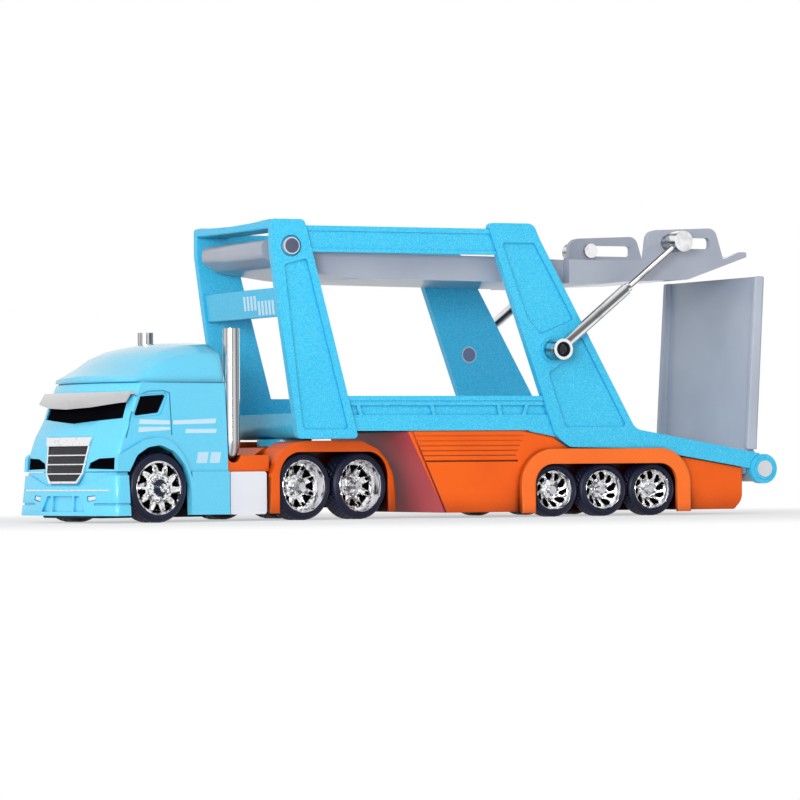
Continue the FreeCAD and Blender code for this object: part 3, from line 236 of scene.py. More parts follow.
def shaded_front(made, tone, shade_tone):
    """The tone with painted shade on the chassis's raked front; the wells' ends look ahead too, and keep
    theirs.
    """
    wells_end, front_start = -0.012, -0.008
    looks_ahead = made.span(made.axis(made.facing, "X"), 0.45, 0.60)
    in_front = made.span(made.axis(made.where, "X"), wells_end, front_start)
    return made.mix(tone, shade_tone, made.product(looks_ahead, in_front), "MIX")


def plastic(name, base, deep, rough, grain=1800.0, coat=0.0, height=0.00002, spec=0.4, edge=0.0, nook=0.0,
            ahead=None):
    """Moulded plastic: cloudy tone and fine grain. edge rounds corners in shading, nook is the reach of
    the painted shade in the hollows round the wheels, and ahead is the painted shade on the chassis's raked
    front."""
    made = Finish(name, base, rough, 0.0, coat, spec)
    tone = made.ramp(made.noise(45.0, 4.0), [(0.30, deep), (0.60, base)])
    # painted shade in the hollows round the wheels and on the faces that look down
    if nook:
        tone = shaded_wells(made, tone, nook)
    # painted shade on the chassis's raked front
    if ahead:
        tone = shaded_front(made, tone, ahead)
    made.colour_from(tone)
    made.rough_from(160.0, rough - 0.05, rough + 0.06)
    if edge:
        made.round_corners(edge, 4)
    made.bump(made.noise(grain, 2.0), height)
    return made.mat


def plated(name, bright, dark, rough, stretch, scale, share=0.42, metal=1.0):
    """Vacuum-plated plastic: bright metal with darker drawn streaks, which are painted reflections of
    darker surroundings.
    """
    made = Finish(name, bright, rough, metal)
    streaks = made.noise(scale, 5.0, 0.62, made.stretched(stretch))
    made.colour_from(made.ramp(streaks, [(share - 0.06, dark), (share + 0.05, bright)]))
    made.rough_from(600.0, max(0.03, rough - 0.04), rough + 0.06)
    return made.mat


def reflection_banded(name, rough, across, reflection_bands, stretch, scale, streak_dark=0.62, eye_shade=None):
    """Plating with painted reflections: its tone changes round the piece, in bands across a direction, with
    drawn streaks; eye_shade gives the X, Z and radius in metres of a dark round patch of painted shade
    about a cross axis."""
    made = Finish(name, (0.8, 0.8, 0.8), rough, 1.0)
    eye_shade_tone, eye_shade_edge = (0.012, 0.014, 0.022), 0.0001
    # painted reflections: the tone goes in bands by the way each face turns
    turned = made.span(made.measured(made.facing, "DOT_PRODUCT", across), -1.0, 1.0)
    mirrored = made.ramp(turned, [(place, (tone, tone, tone * 1.02)) for place, tone in reflection_bands])
    # darker drawn streaks, painted reflections too
    streaks = made.noise(scale, 4.0, 0.6, made.stretched(stretch))
    tone = made.mix(mirrored, made.ramp(streaks, [(0.34, (streak_dark, streak_dark, streak_dark)), (0.50, PURE_WHITE)]))
    # a dark round patch of painted shade where the eye's hollow is
    if eye_shade:
        x, z, radius = eye_shade
        away = made.measured(made.stretched((1.0, 0.0, 1.0), (-x, 0.0, -z)), "LENGTH")
        outside = made.span(away, radius - eye_shade_edge, radius + eye_shade_edge)
        tone = made.mix(eye_shade_tone, tone, outside, "MIX")
    made.colour_from(tone)
    made.rough_from(600.0, rough - 0.04, rough + 0.05)
    return made.mat


# ---------------------------------------------------------------- the finishes
CAB_TONES = ((0.115, 0.575, 0.81), (0.20, 0.68, 0.88), (0.93, 0.97, 0.99))
# the frame and cab blues have painted shade in their grooves, within nook's reach
BLUE = flake_paint("frame_blue", ((0.022, 0.465, 0.745), (0.17, 0.68, 0.90), (0.90, 0.96, 0.98)), 7500.0,
                   0.36, 0.12, 0.55, nook=0.0012)
CAB_BLUE = flake_paint("cab_blue", CAB_TONES, 9000.0, 0.24, 0.45, 0.45, nook=0.0016)
ROOF_BLUE = flake_paint("roof_blue", CAB_TONES, 9000.0, 0.20, 0.6, 0.45, edge=0.0028)

ORANGE_TONES = ((0.83, 0.118, 0.006), (0.74, 0.092, 0.005))
# painted shade in the hollows round the wheels and on the faces that look down, within nook's reach
ORANGE = plastic("orange", *ORANGE_TONES, 0.32, coat=0.12, spec=0.15, edge=0.0004, nook=0.013)
# the chassis also has painted shade on its raked front, with the ahead colour, and in its wells
RAKED_ORANGE = plastic("chassis_orange", *ORANGE_TONES, 0.32, coat=0.12, spec=0.15, edge=0.0004, nook=0.013,
                       ahead=(0.56, 0.062, 0.080))
# a lighter copy of the orange for the fenders, painted light for the brighter rear, with painted shade
# round the wheels
FENDER_ORANGE = plastic("fender_orange", (0.90, 0.165, 0.018), (0.84, 0.140, 0.015), 0.30, coat=0.15,
                        spec=0.2, edge=0.0006, nook=0.007)

GREY = plastic("grey", (0.36, 0.39, 0.46), (0.31, 0.34, 0.41), 0.34, coat=0.2)
# a lighter copy of the grey for the ramp, painted light for a face that lies in shade
RAMP_GREY = plastic("ramp_grey", (0.43, 0.47, 0.55), (0.37, 0.41, 0.49), 0.34, coat=0.2, edge=0.0008)
SILVER = plastic("silver", (0.78, 0.79, 0.84), (0.72, 0.73, 0.79), 0.32, coat=0.2)
WHITE_PRINT = plastic("white_print", (0.56, 0.76, 0.88), (0.46, 0.68, 0.83), 0.40)
LENS = plastic("lens", (0.70, 0.80, 0.86), (0.55, 0.66, 0.74), 0.12, coat=0.8)

BLACK = plastic("black", (0.0035, 0.0035, 0.005), (0.002, 0.002, 0.003), 0.16, spec=0.02)
BLACK.node_tree.nodes["Principled BSDF"].inputs["IOR"].default_value = 1.03    # hardly mirrors at all
JET = plastic("jet", (0.004, 0.005, 0.009), (0.003, 0.004, 0.006), 0.14, spec=0.45)
MATT_BLACK = plastic("matt_black", (0.012, 0.012, 0.016), (0.007, 0.007, 0.009), 0.55, spec=0.15)
LATTICE = plastic("lattice", (0.045, 0.046, 0.054), (0.030, 0.031, 0.038), 0.30)
RUBBER = plastic("rubber", (0.0085, 0.0105, 0.033), (0.006, 0.007, 0.022), 0.42, 2600.0, height=0.00003,
                 spec=0.25)

PIN_FACE = plastic("pin_face", (0.085, 0.100, 0.160), (0.050, 0.060, 0.100), 0.34, 3000.0, coat=0.2)
# a lighter copy of the pin face, painted light for the strut pins' inner ends, which lie in shade
LIGHTENED_PIN_FACE = plastic("lightened_pin_face", (0.15, 0.20, 0.33), (0.10, 0.14, 0.24), 0.34, 3000.0, coat=0.2)
PIN_RIM = plastic("pin_rim", (0.62, 0.64, 0.68), (0.50, 0.52, 0.56), 0.25, coat=0.3)
PIN_GREY = plastic("pin_grey", (0.40, 0.42, 0.48), (0.34, 0.36, 0.42), 0.30, coat=0.2)

EVEN = (1.0, 1.0, 1.0)                         # streaks with no direction
# the plated finishes carry painted reflections in their darker streaks
WHEEL_CHROME = plated("wheel_chrome", (0.88, 0.88, 0.89), (0.16, 0.16, 0.17), 0.08, (1.0, 0.6, 1.0), 640.0,
                      0.47)
DARK_CHROME = plated("dark_chrome", (0.030, 0.036, 0.060), (0.012, 0.014, 0.024), 0.22, EVEN, 900.0)
BARREL = plated("wheel_barrel", (0.86, 0.86, 0.88), (0.05, 0.05, 0.06), 0.24, (1.0, 1.0, 0.16), 800.0, 0.47,
                0.45)
SATIN = plated("satin_silver", (0.86, 0.87, 0.89), (0.74, 0.75, 0.78), 0.24, EVEN, 700.0)
STEEL = plated("steel", (0.60, 0.61, 0.64), (0.36, 0.37, 0.39), 0.26, EVEN, 900.0)

# the chrome, the struts and the visor carry painted reflections in bands by the way each face turns
CHROME = reflection_banded("chrome", 0.12, (0.80, -0.60, 0.0), [
    (0.00, 0.55), (0.10, 0.12), (0.22, 0.70), (0.36, 0.30), (0.46, 0.86), (0.58, 0.80), (0.68, 0.28),
    (0.80, 0.75), (0.90, 0.22), (1.00, 0.60)], (1.0, 1.0, 0.05), 420.0)
# the visor is darker where it faces down and lighter where it faces up: painted shade underneath and
# painted light on top
VISOR_SILVER = reflection_banded("visor_silver", 0.22, (0.0, 0.0, 1.0), [
    (0.00, 0.20), (0.45, 0.62), (0.60, 0.52), (0.80, 0.60), (1.00, 0.78)], (1.0, 0.25, 1.0), 120.0, 0.86)
STRUT_REFLECTIONS = [(0.00, 0.25), (0.14, 0.60), (0.26, 0.08), (0.36, 0.80), (0.52, 0.90), (0.60, 0.14),
               (0.68, 0.16), (0.76, 0.86), (0.90, 0.45), (1.00, 0.80)]
STRUT_ACROSS = (-0.45, 0.0, 0.89)              # up, and a little to the rear
STRUT_DRAWN = (0.3, 1.0, 0.3)
ROD_CHROME = reflection_banded("rod_chrome", 0.14, STRUT_ACROSS, STRUT_REFLECTIONS, STRUT_DRAWN, 420.0)
strut_foot = joints["strut_swing"]["pos_m"]
# the eye's chrome also has a dark round patch of painted shade about the strut's pivot
EYE_CHROME = reflection_banded("eye_chrome", 0.14, STRUT_ACROSS, STRUT_REFLECTIONS, STRUT_DRAWN, 420.0,
                   eye_shade=(strut_foot[0], strut_foot[2], 0.00195))

BY_SLOT = {
    "blue_frame": BLUE, "blue_cab": CAB_BLUE, "orange_body": ORANGE, "grey_plastic": GREY,
    "bright_metal": CHROME, "pin_metal": PIN_GREY, "tyre": RUBBER, "black_plastic": BLACK,
    "silver_paint": SILVER, "axle_steel": STEEL,
}
BY_NODE = {
    "strut_barrels": EYE_CHROME, "strut_rods": ROD_CHROME, "deck_pins": PIN_RIM, "strut_pins": PIN_RIM,
    "ramp_pins": PIN_RIM, "trailer_chassis": RAKED_ORANGE, "trailer_fenders": FENDER_ORANGE,
    "rear_ramp": RAMP_GREY, "tractor_base": MATT_BLACK, "roof_cap": ROOF_BLUE, "visor": VISOR_SILVER,
    "grille": SATIN, "grille_mesh": MATT_BLACK,
}
for part in frame["record"]["subparts"]:
    finish = BY_NODE.get(part["node"], BY_SLOT[part["material_slot"]])
    for slot in frame["nodes"][part["node"]].material_slots:
        slot.material = finish

# ---------------------------------------------------------------- rounded edges of the carried nodes
EDGE_WIDTHS = {
    "side_frame_left": 0.35, "side_frame_right": 0.35, "front_portal": 0.35, "lower_deck": 0.3,
    "trailer_chassis": 0.3, "upper_deck": 0.35, "rear_ramp": 0.3,
    "cab_shell": 0.3, "roof_cap": 0.4, "bumper": 0.3, "visor": 0.2, "tractor_frame": 0.4, "side_tanks": 0.3,
    "strut_rods": 0.15, "strut_barrels": 0.15, "grille": 0.1,
}


def round_edges(name, width):
    """Small rounded edges on a carried node, as the moulded pieces have."""
    carried = frame["nodes"][name]
    weld = carried.modifiers.new("join", "WELD")
    weld.merge_threshold = 0.000004
    bevel = carried.modifiers.new("edges", "BEVEL")
    bevel.width = width * MM
    bevel.segments = 2
    bevel.limit_method = "ANGLE"
    bevel.angle_limit = math.radians(28)
    bevel.harden_normals = True


for name, width in EDGE_WIDTHS.items():
    round_edges(name, width)


# ---------------------------------------------------------------- making pieces
def tractor_point(x, y, z):
    """From the tractor's own axes in mm to the row frame in m."""
    turned_x = x * math.cos(TRACTOR_TURN) - y * math.sin(TRACTOR_TURN)
    turned_y = x * math.sin(TRACTOR_TURN) + y * math.cos(TRACTOR_TURN)
    return Vector((turned_x, turned_y, z)) * MM + KING


def trailer_point(x, y, z):
    """From the trailer's axes in mm to the row frame in m."""
    return Vector((x, y, z)) * MM + KING


BODY = {name: owner for owner, nodes in frame["record"]["behaviour"]["bodies"].items() for name in nodes}


def piece(name, skin, finish, rides, place, smooth=False, picks=None, angle=35.0):
    """A piece of the scene from points in mm and faces. It rides with a carried node's body; picks gives
    each face's finish where there are several, and edges sharper than angle stay sharp."""
    points, faces = skin
    mesh = bpy.data.meshes.new(name)
    mesh.from_pydata([place(*p) for p in points], [], faces)
    for mat in finish if isinstance(finish, list) else [finish]:
        mesh.materials.append(mat)
    if picks:
        mesh.polygons.foreach_set("material_index", picks)
    bm = bmesh.new()
    bm.from_mesh(mesh)
    bmesh.ops.recalc_face_normals(bm, faces=bm.faces)
    for face in bm.faces:
        face.smooth = smooth
    for edge in bm.edges:
        if len(edge.link_faces) == 2 and edge.calc_face_angle(0.0) > math.radians(angle):
            edge.smooth = False
    bm.to_mesh(mesh)
    bm.free()
    made = bpy.data.objects.new(name, mesh)
    bpy.context.scene.collection.objects.link(made)
    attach(made, BODY[rides])
    return made


def close_middles(made):
    """Joins the points that lie on one spot, at the middle of a wheel's face and back."""
    bm = bmesh.new()
    bm.from_mesh(made.data)
    bmesh.ops.remove_doubles(bm, verts=bm.verts, dist=0.000002)
    bmesh.ops.recalc_face_normals(bm, faces=bm.faces)
    bm.to_mesh(made.data)
    bm.free()


def add(skin, more):
    """Puts more points and faces behind those that a skin has."""
    start = len(skin[0])
    skin[0].extend(more[0])
    skin[1].extend(tuple(start + v for v in face) for face in more[1])


def angles(count):
    """Even steps of one full turn."""
    return [2 * math.pi * j / count for j in range(count)]


def rings_mesh(rings, closed=False):
    """Points and faces of a skin over rings of equal length; the last ring joins the first if closed."""
    points = [p for ring in rings for p in ring]
    count = len(rings[0])
    faces = []
    for i in range(len(rings) if closed else len(rings) - 1):
        a = i * count
        b = (i + 1) % len(rings) * count
        for j in range(count):
            k = (j + 1) % count
            faces.append((a + j, a + k, b + k, b + j))
    return points, faces


def straight(value, low, high):
    """0 up to low, 1 from high on, and even between them."""
    return min(1.0, max(0.0, (value - low) / (high - low)))


def rise(value, low, high):
    """As straight does, with both ends eased."""
    t = straight(value, low, high)
    return t * t * (3 - 2 * t)


def fall(value, low, high):
    """1 up to low, and 0 from high on."""
    return 1 - rise(value, low, high)


# ---------------------------------------------------------------- wheels
# finishes of the spokes and lip, the windows (sunk, and painted black as the shade seen through them), the
# ring round the cap, and the barrel's inside
PLATED, PIERCED, SHADED, INSIDE = range(4)
WHEEL_FINISHES = [WHEEL_CHROME, BLACK, DARK_CHROME, BARREL]
OPEN = 0.45                                    # a window is dark where it is sunk by more than this share
Wheel = namedtuple("Wheel", "tyre rim width track")


def off_nearest(turn, count, start=0.0):
    """Angle from the nearest of several directions spaced evenly round a circle."""
    pitch = 2 * math.pi / count
    off = (turn - start) % pitch
    return min(off, pitch - off)


def nuts(r, turn, count, at, start, top, foot):
    """1 on each of several round nuts on a circle of radius at, and 0 beyond their feet."""
    off = off_nearest(turn, count, start)
    away = math.hypot(r * math.cos(off) - at, r * math.sin(off))
    return fall(away, top, foot)


# Each face gives the depth in mm behind the lip, and the finish, at a radius and an angle.
def front_face(r, turn, rim):
    """Steer wheel: lip and groove, ten three-cornered windows, ten nuts and a tapered cap."""
    count, inner, outer = 10, 4.0, 5.95        # windows
    cap_tip, cap_foot, ring_start = 0.95, 2.2, 0.98
    # the lip's round, the groove inside it, and the step down to the spokes
    depth = 0.12 * rise(r, rim - 0.2, rim) + 0.45 * fall(abs(r - (rim - 0.42)), 0.05, 0.16)
    depth += 0.7 * fall(r, rim - 0.75, rim - 0.5)
    # windows, wider outwards, and the slightly sunk middle line of each spoke
    share = (turn * count / (2 * math.pi) + 0.06 * (r - inner)) % 1.0
    aside = abs(share - 0.5) * 2
    width = 0.12 + 0.44 * straight(r, inner, outer - 0.1)
    hole = fall(aside, width, width + 0.14) * (rise(r, inner, inner + 0.25) * fall(r, outer - 0.2, outer))
    depth += 2.2 * hole
    depth += 0.28 * rise(aside, 0.84, 0.97) * rise(r, 3.6, 3.8) * fall(r, 5.7, 5.9)
    # the raised middle in two steps, the nuts, and the cap with its flat tip
    depth -= 0.5 * fall(r, 5.6, 6.0) + 0.6 * fall(r, 3.2, 3.7)
    depth -= 0.75 * nuts(r, turn, count, 2.72, -0.136, 0.36, 0.54)
    depth -= 1.5 * (1 - straight(r, cap_tip, cap_foot)) - 0.12 * fall(r, 0.45, 0.6)
    return depth, PIERCED if hole > OPEN else SHADED if ring_start < r < cap_foot else PLATED


def drive_face(r, turn, rim):
    """Drive wheel: deep barrel, eight forked spokes and a low hub with nuts."""
    count = 8
    inside_from, inside_to = 5.75, rim - 0.2
    bowl = 4.7 - 1.9 * straight(r, 1.5, rim - 0.7)
    depth = 0.12 * rise(r, rim - 0.18, rim) + bowl * fall(r, rim - 0.62, rim - 0.24)
    # windows, and a slit that forks each spoke between them
    within = off_nearest(turn, count)
    between = math.pi / count - within
    half_angle = 0.07 + 0.085 * (r - 3.3)
    window = fall(within, half_angle, half_angle + 0.06) * rise(r, 3.25, 3.5) * fall(r, 5.0, 5.3)
    slit = fall(between, 0.045, 0.085) * rise(r, 4.4, 4.6) * fall(r, 5.3, 5.5)
    hole = max(window, slit)
    depth += 1.4 * hole
    # ribs along the windows and round the hub, the hub, its nuts and its cap
    depth -= 0.35 * fall(abs(within - half_angle - 0.07), 0.03, 0.09) * rise(r, 2.9, 3.2)
    depth -= 0.35 * fall(abs(r - 2.75), 0.12, 0.26)
    depth -= 0.7 * fall(r, 1.5, 2.4)
    depth -= 0.4 * nuts(r, turn, count, 2.0, 0.4, 0.2, 0.32)
    depth -= 0.5 * fall(r, 0.95, 1.15)
    return depth, PIERCED if hole > OPEN else INSIDE if inside_from < r < inside_to else PLATED


def trailer_face(r, turn, rim):
    """Trailer wheel: deep barrel, swept spokes with leaf-shaped windows, and a low hub with nuts."""
    count = 5
    inside_from, inside_to = 4.72, rim - 0.18
    bowl = 3.6 - 2.1 * straight(r, 1.2, rim - 0.4)
    depth = 0.1 * rise(r, rim - 0.16, rim) + bowl * fall(r, rim - 0.42, rim - 0.2)
    # five wide and five narrow windows, each with a rib along its edges
    swept = turn + 0.13 * (r - 3.0)
    hole = 0.0
    for start, half_angle, inner, outer in ((0.0, 0.21, 2.5, 4.62), (0.628, 0.16, 2.7, 4.52)):
        off = off_nearest(swept, count, start)
        along = (r - inner) / (outer - inner)
        if 0.0 < along < 1.0:
            leaf = half_angle * math.sqrt(math.sin(math.pi * along ** 1.15))
            hole = max(hole, fall(off, leaf - 0.03, leaf + 0.03))
        rib = fall(abs(off - half_angle - 0.07), 0.03, 0.08)
        depth -= 0.3 * rib * rise(r, 2.2, 2.6) * fall(r, 4.2, 4.45)
    depth += 1.5 * hole
    # the hub, its nuts and its cap
    depth -= 0.7 * fall(r, 0.9, 2.0)
    depth -= 0.3 * nuts(r, turn, count, 1.5, 0.3, 0.15, 0.25)
    depth -= 0.3 * fall(r, 0.6, 0.75)
    return depth, PIERCED if hole > OPEN else INSIDE if inside_from < r < inside_to else PLATED


def rim_side(x, wheel, face, spin, side):
    """Rings, and each point's finish, of one wheel: from the middle of its face, over the barrel, to the
    middle of its hollow back."""
    around, fine = angles(180), 0.085
    lip, rim, back = wheel.track - 0.12, wheel.rim, wheel.track - wheel.width
    radii = [0.0, 0.4, 0.55, 0.7, 0.85] + [0.95 + fine * n for n in range(int((rim - 1.0) / fine))]
    radii.append(rim - 0.02)
    rings, picks = [], []
    for r in radii:
        found = [face(r, turn - spin, rim) for turn in around]
        rings.append([(x + side * r * math.cos(turn), side * (lip - depth), wheel.tyre + r * math.sin(turn))
                      for turn, (depth, _) in zip(around, found)])
        picks.append([pick for _, pick in found])
    barrel = [(rim, wheel.track - 0.3), (rim, back + 0.3), (rim - 0.6, back + 0.3), (rim - 0.9, back + 0.5),
              (1.8, back + 0.5), (1.5, back + 0.3), (0.0, back + 0.3)]
    for r, y in barrel:
        rings.append([(x + side * r * math.cos(turn), side * y, wheel.tyre + r * math.sin(turn))
                      for turn in around])
        picks.append([PIERCED if r < rim - 0.7 else PLATED] * len(around))
    return rings, picks


def rims(name, x, wheel, face, place, spin):
    """Both wheels of an axle."""
    skin, picks = ([], []), []
    for side in (1, -1):
        rings, ring_picks = rim_side(x, wheel, face, spin, side)
        add(skin, rings_mesh(rings))
        for here, beyond in zip(ring_picks, ring_picks[1:]):
            picks += [a if a == b else PLATED for a, b in zip(here, beyond)]
    made = piece(name + "_wheels", skin, WHEEL_FINISHES, name + "_rims", place, True, picks, 50.0)
    close_middles(made)
    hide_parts(name + "_rims")


def tyres(name, x, wheel, place):
    """Both tyres of an axle, with ringed sidewalls and a block tread cut over the outer shoulder."""
    count, slot_every, slot_steps = 216, 6, (0, 1)
    outer, half = wheel.tyre, wheel.width / 2
    middle = wheel.track - half
    side_wall = [(half - 0.35, wheel.rim + 0.02), (half - 0.05, wheel.rim + 0.25), (half, wheel.rim + 0.5),
                 (half - 0.06, wheel.rim + 0.6), (half - 0.06, wheel.rim + 0.72), (half, wheel.rim + 0.82),
                 (half - 0.04, outer - 0.95), (half - 0.16, outer - 0.85), (half - 0.18, outer - 0.72),
                 (half - 0.12, outer - 0.62), (half - 0.38, outer - 0.25), (half - 0.66, outer - 0.08)]
    flat, tread_depth = half - 0.85, 0.26
    mouth, bed = 0.34, 0.16                    # half widths of a groove at the tread and at its bottom
    tread = [(-flat, False)]
    for mid in (-0.52 * flat, 0.0, 0.52 * flat):
        tread += [(mid - mouth, False), (mid - bed, True), (mid + bed, True), (mid + mouth, False)]
    tread.append((flat, False))
    skin = ([], [])
    for side in (1, -1):
        rings = []
        for j, turn in enumerate(angles(count)):
            profile = [(-y, r) for y, r in side_wall]
            for n, (y, in_groove) in enumerate(tread):
                shift = slot_every // 2 if n % 8 < 4 else 0
                in_slot = n > 0 and (j + shift) % slot_every in slot_steps
                profile.append((y, outer - (tread_depth if in_groove or in_slot else 0.0)))
            profile += reversed(side_wall)
            rings.append([(x + r * math.cos(turn), side * (middle + y), outer + r * math.sin(turn))
                          for y, r in profile])
        add(skin, rings_mesh(rings, True))
    made = piece(name + "_treads", skin, RUBBER, name + "_tyres", place, True, angle=30.0)
    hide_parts(name + "_tyres")


# tyre and rim radius, width, and half width over the tyres
TRACTOR_WHEEL = Wheel(8.5, 6.7, 6.6, 20.2)
TRAILER_WHEEL = Wheel(6.9, 5.2, 5.8, 24.15)
# axle, its X along its own vehicle, wheel, face, vehicle, and turn of the face
AXLES = [
    ("front", 53.2, TRACTOR_WHEEL, front_face, tractor_point, 0.136),
    ("drive_1", 8.9, TRACTOR_WHEEL, drive_face, tractor_point, 0.0),
    ("drive_2", -9.0, TRACTOR_WHEEL, drive_face, tractor_point, 0.03),
    ("trailer_1", -65.2, TRAILER_WHEEL, trailer_face, trailer_point, 0.24),
    ("trailer_2", -79.6, TRAILER_WHEEL, trailer_face, trailer_point, 0.57),
    ("trailer_3", -94.0, TRAILER_WHEEL, trailer_face, trailer_point, 0.55),
]
for name, x, wheel, face, place, spin in AXLES:
    rims(name, x, wheel, face, place, spin)
    tyres(name, x, wheel, place)


# ---------------------------------------------------------------- printed bars and small trims
def width_at(line, z):
    """Half width at a height, from (height, half width) points with straight stretches between them."""
    for (z0, y0), (z1, y1) in zip(line, line[1:]):
        if z <= z1:
            return y0 + (y1 - y0) * (z - z0) / (z1 - z0)
    return line[-1][1]


def sheet(rows, at, proud, sunk):
    """A thin solid patch: rows of (a, b) pairs run over a surface that at(a, b, out) gives, and its two
    skins lie proud of that surface and sunk below it."""
    across = len(rows[0])
    points = [at(a, b, out) for out in (proud, -sunk) for row in rows for a, b in row]
    under = len(rows) * across
    faces = []
    for i in range(len(rows) - 1):
        first = i * across
        last = first + across - 1
        for a in range(first, last):
            faces.append((a, a + 1, a + across + 1, a + across))
            faces.append((under + a, under + a + across, under + a + across + 1, under + a + 1))
        faces.append((first, first + across, under + first + across, under + first))
        faces.append((last, under + last, under + last + across, last + across))
    end = under - across
    for j in range(across - 1):
        faces.append((j, under + j, under + j + 1, j + 1))
        faces.append((end + j, end + j + 1, under + end + j + 1, under + end + j))
    return points, faces


def bar_rows(left, right):
    """Rows from the bottom to the top of a bar given by its (low, high) ends at either side."""
    slices = 6
    rows = []
    for n in range(slices + 1):
        t = n / slices
        rows.append([tuple(low + (high - low) * t for low, high in zip(*end)) for end in (left, right)])
    return rows


PRINT_PROUD, PRINT_SUNK = 0.03, 0.15
# height and half width of the cab's flat side
CAB_SIDE = [(12.6, 19.8), (17.0, 19.7), (21.0, 19.5), (25.0, 19.3), (30.6, 18.9)]
# plain bars on the cab's sides: X and height of the front edge, then of the rear edge, low and high
CAB_BARS = [
    ((58.7, 24.1), (58.2, 25.3), (49.4, 24.0), (49.4, 25.0)),
    ((48.4, 24.0), (48.4, 25.0), (35.7, 24.3), (35.3, 25.5)),
    ((58.9, 22.1), (58.6, 23.4), (49.4, 22.7), (49.4, 23.4)),
    ((44.9, 21.9), (44.6, 22.9), (35.6, 21.9), (35.3, 22.9)),
    ((41.8, 14.5), (41.2, 17.2), (38.6, 14.5), (38.0, 17.2)),
    ((37.8, 14.5), (37.2, 17.2), (34.8, 14.5), (34.2, 17.2)),
]


def cab_stripes():
    """Plain bars on both sides of the cab."""
    skin = ([], [])
    for side in (1, -1):
        for bar in CAB_BARS:
            add(skin, sheet(bar_rows(bar[:2], bar[2:]),
                            lambda x, z, out: (x, side * (width_at(CAB_SIDE, z) + out), z),
                            PRINT_PROUD, PRINT_SUNK))
    piece("cab_stripes", skin, WHITE_PRINT, "cab_shell", tractor_point)


def board_stripes():
    """Plain leaning bars on the name board; the first four stand higher than the others."""
    first, pitch, wide, tall, lean = 1.6, 2.15, 1.25, 3.6, 0.35
    board_x, board_z, board_slope = 12.3, 58.2, 7.2    # a point of the board's front, and its rise per run
    skin = ([], [])
    for n in range(9):
        y = first + n * pitch
        low = 53.0 if n < 4 else 51.6
        high = low + tall
        add(skin, sheet(bar_rows(((y, low), (y + lean, high)), ((y + wide, low), (y + wide + lean, high))),
                        lambda y, z, out: (board_x - (board_z - z) / board_slope + out, y, z),
                        PRINT_PROUD, PRINT_SUNK))
    piece("board_stripes", skin, WHITE_PRINT, "front_portal", trailer_point)


def bumper_x(y, z):
    """X of the bumper's bowed front, which stands further out towards its foot."""
    top, tall, corner_round = 12.6, 10.8, 1.2
    down = (top - z) / tall
    corner = 66.1 + 0.7 * down
    nose = 67.8 + 0.8 * down
    half = 20.4 + 1.0 * down - corner_round
    return corner + (nose - corner) * (1 - (y / half) ** 2)


def bumper_patch(name, patches, proud, sunk, finish):
    """Thin patches on the bumper's front, from rows of Y and height."""
    skin = ([], [])
    for rows in patches:
        add(skin, sheet(rows, lambda y, z, out: (bumper_x(y, z) + out, y, z), proud, sunk))
    piece(name, skin, finish, "bumper", tractor_point)


def bumper_trims():
    """The silver line across the bumper and a small lamp low on either side of it."""
    reach, parts = 18.3, 48
    line = [[(-reach + 2 * reach * n / parts, z) for n in range(parts + 1)] for z in (7.85, 8.2)]
    bumper_patch("bumper_strip", [line], 0.14, 0.15, SATIN)
    lamps = [[[(side * 10.7, 5.45), (side * 13.3, 5.85)], [(side * 10.45, 6.4), (side * 12.95, 6.6)]]
             for side in (1, -1)]
    bumper_patch("bumper_lenses", lamps, -0.18, 0.55, LENS)


# height and half width of the dark field behind the grille's bars
MESH_EDGE = [(10.25, 5.6), (12.2, 7.5), (18.85, 8.6)]


def grille_lattice():
    """A fine crossed net on the dark field behind the grille's bars."""
    pitch, half_wire, margin, behind, apart = 0.62, 0.09, 0.12, 0.52, 0.03
    wire_proud, wire_sunk = 0.05, 0.12
    foot, fine, steps, middle, slope = 10.3, 0.097, 88, 14.5, 0.75
    face_x, face_z, face_lean = 65.9, 21.1, 0.196      # a point of the grille's face, and its run per rise
    skin = ([], [])
    for lean in (1, -1):
        deep = behind + (apart if lean > 0 else 0)
        for n in range(-30, 31):
            wire = []
            for k in range(steps):
                z = foot + k * fine
                y = n * pitch + lean * (z - middle) * slope
                if abs(y) < width_at(MESH_EDGE, z) - margin:
                    wire.append((y, z))
            if len(wire) < 3:
                continue
            ends = (wire[0], wire[-1])
            rows = [[(y - half_wire, z), (y + half_wire, z)] for y, z in ends]
            add(skin, sheet(rows, lambda y, z, out: (face_x + face_lean * (face_z - z) - deep + out, y, z),
                            wire_proud, wire_sunk))
    piece("grille_lattice", skin, LATTICE, "grille_mesh", tractor_point)


def lathe(profile, at, side):
    """A turned piece about a cross axis at (X, Z); the profile's rows are (outward, radius)."""
    return rings_mesh([[(at[0] + r * math.cos(turn), side * out, at[1] + r * math.sin(turn))
                        for turn in angles(40)] for out, r in profile])


def pin_ends():
    """Dark ends of the pins: domes in the struts' eyes, and flat faces on the deck pins' outer ends and
    on the strut pins' inner ends."""
    strut_pin, deck_pin, face_r, tip = (-64.5, 42.9), (8.9, 68.6), 1.84, 0.02
    dome = [(30.4, 1.18), (30.95, 1.16), (31.02, 0.9), (31.06, 0.5), (31.09, tip)]
    for name, rides, at, profile, finish, angle in (
            ("strut_pin_domes", "strut_pins", strut_pin, dome, JET, 60.0),
            ("deck_pin_faces", "deck_pins", deck_pin,
             [(25.25, tip), (25.25, face_r), (25.36, face_r), (25.36, tip)], PIN_FACE, 40.0),
            # the strut pins' inner ends take the lighter copy, painted light where they lie in shade
            ("strut_pin_faces", "strut_pins", strut_pin,
             [(22.65, tip), (22.65, face_r), (22.54, face_r), (22.54, tip)], LIGHTENED_PIN_FACE, 40.0)):
        skin = ([], [])
        for side in (1, -1):
            add(skin, lathe(profile, at, side))
        piece(name, skin, finish, rides, trailer_point, True, angle=angle)


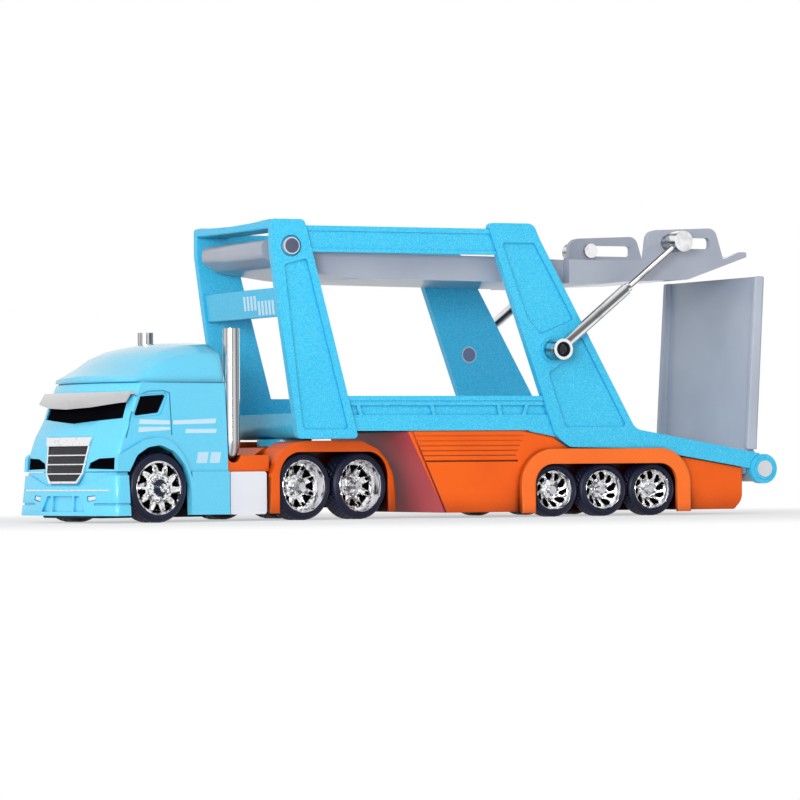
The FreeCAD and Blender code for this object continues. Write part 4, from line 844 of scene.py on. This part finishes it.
cab_stripes()
board_stripes()
bumper_trims()
grille_lattice()
pin_ends()


# ---------------------------------------------------------------- floor, backdrop and lamps
def seen_openly(tree):
    """1 for the rays that find the backdrop white: straight to the camera, mirrored or through glass."""
    path = node(tree, "ShaderNodeLightPath")
    seen = path.outputs["Is Camera Ray"]
    for kind in ("Is Glossy Ray", "Is Transmission Ray"):
        either = node(tree, "ShaderNodeMath", operation="MAXIMUM")
        tree.links.new(seen, either.inputs[0])
        tree.links.new(path.outputs[kind], either.inputs[1])
        seen = either.outputs["Value"]
    return seen


def blended(tree, factor, first, second, target):
    """Mixes two shaders and links them to the target."""
    made = node(tree, "ShaderNodeMixShader")
    tree.links.new(factor, made.inputs["Fac"])
    tree.links.new(first, made.inputs[1])
    tree.links.new(second, made.inputs[2])
    tree.links.new(made.outputs["Shader"], target)


def floor():
    """A pale floor that half keeps the shadow under the object and turns plain white further out."""
    half_long, half_wide, reach = 0.26, 0.20, 3.0
    made = Finish("floor", (0.88, 0.88, 0.89), 0.9, spec=0.0)
    glow = node(made.tree, "ShaderNodeEmission", Color=(*PURE_WHITE, 1.0))
    away = made.measured(made.stretched((1 / half_long, 1 / half_wide, 0.0)), "LENGTH")
    fade = made.span(away, 0.35, 1.0, 0.5, 1.0, "SMOOTHSTEP")
    blended(made.tree, made.product(seen_openly(made.tree), fade), made.shader.outputs["BSDF"],
            glow.outputs["Emission"], made.tree.nodes["Material Output"].inputs["Surface"])
    mesh = bpy.data.meshes.new("floor")
    corners = [(-reach, -reach, 0), (reach, -reach, 0), (reach, reach, 0), (-reach, reach, 0)]
    mesh.from_pydata(corners, [], [(0, 1, 2, 3)])
    mesh.materials.append(made.mat)
    ground = bpy.data.objects.new("floor", mesh)
    bpy.context.scene.collection.objects.link(ground)


def backdrop():
    """A world that is seen white and lights the object with half of that."""
    world = bpy.data.worlds.new("studio")
    bpy.context.scene.world = world
    world.use_nodes = True
    tree = world.node_tree
    light = tree.nodes["Background"]
    light.inputs["Color"].default_value = (*PURE_WHITE, 1.0)
    light.inputs["Strength"].default_value = 0.5
    white = node(tree, "ShaderNodeBackground", Color=(*PURE_WHITE, 1.0), Strength=1.0)
    blended(tree, seen_openly(tree), light.outputs["Background"], white.outputs["Background"],
            tree.nodes["World Output"].inputs["Surface"])


def lamp(name, place, aim, size, power):
    data = bpy.data.lights.new(name, "AREA")
    data.shape = "SQUARE"
    data.size = size
    data.energy = power
    made = bpy.data.objects.new(name, data)
    made.location = place
    made.rotation_euler = (Vector(aim) - Vector(place)).to_track_quat("-Z", "Y").to_euler()
    bpy.context.scene.collection.objects.link(made)


floor()
backdrop()
lamp("key", (0.25, 0.9, 0.75), (0, 0, 0.03), 0.5, 1.8)
lamp("front", (0.9, 0.5, 0.35), (0.05, 0, 0.03), 0.4, 2.4)
lamp("side", (0.74, 1.0, 0.08), (-0.04, 0, 0.05), 0.4, 11.3)
lamp("behind", (-0.9, -0.9, 0.35), (0, 0, 0.04), 0.9, 2.5)
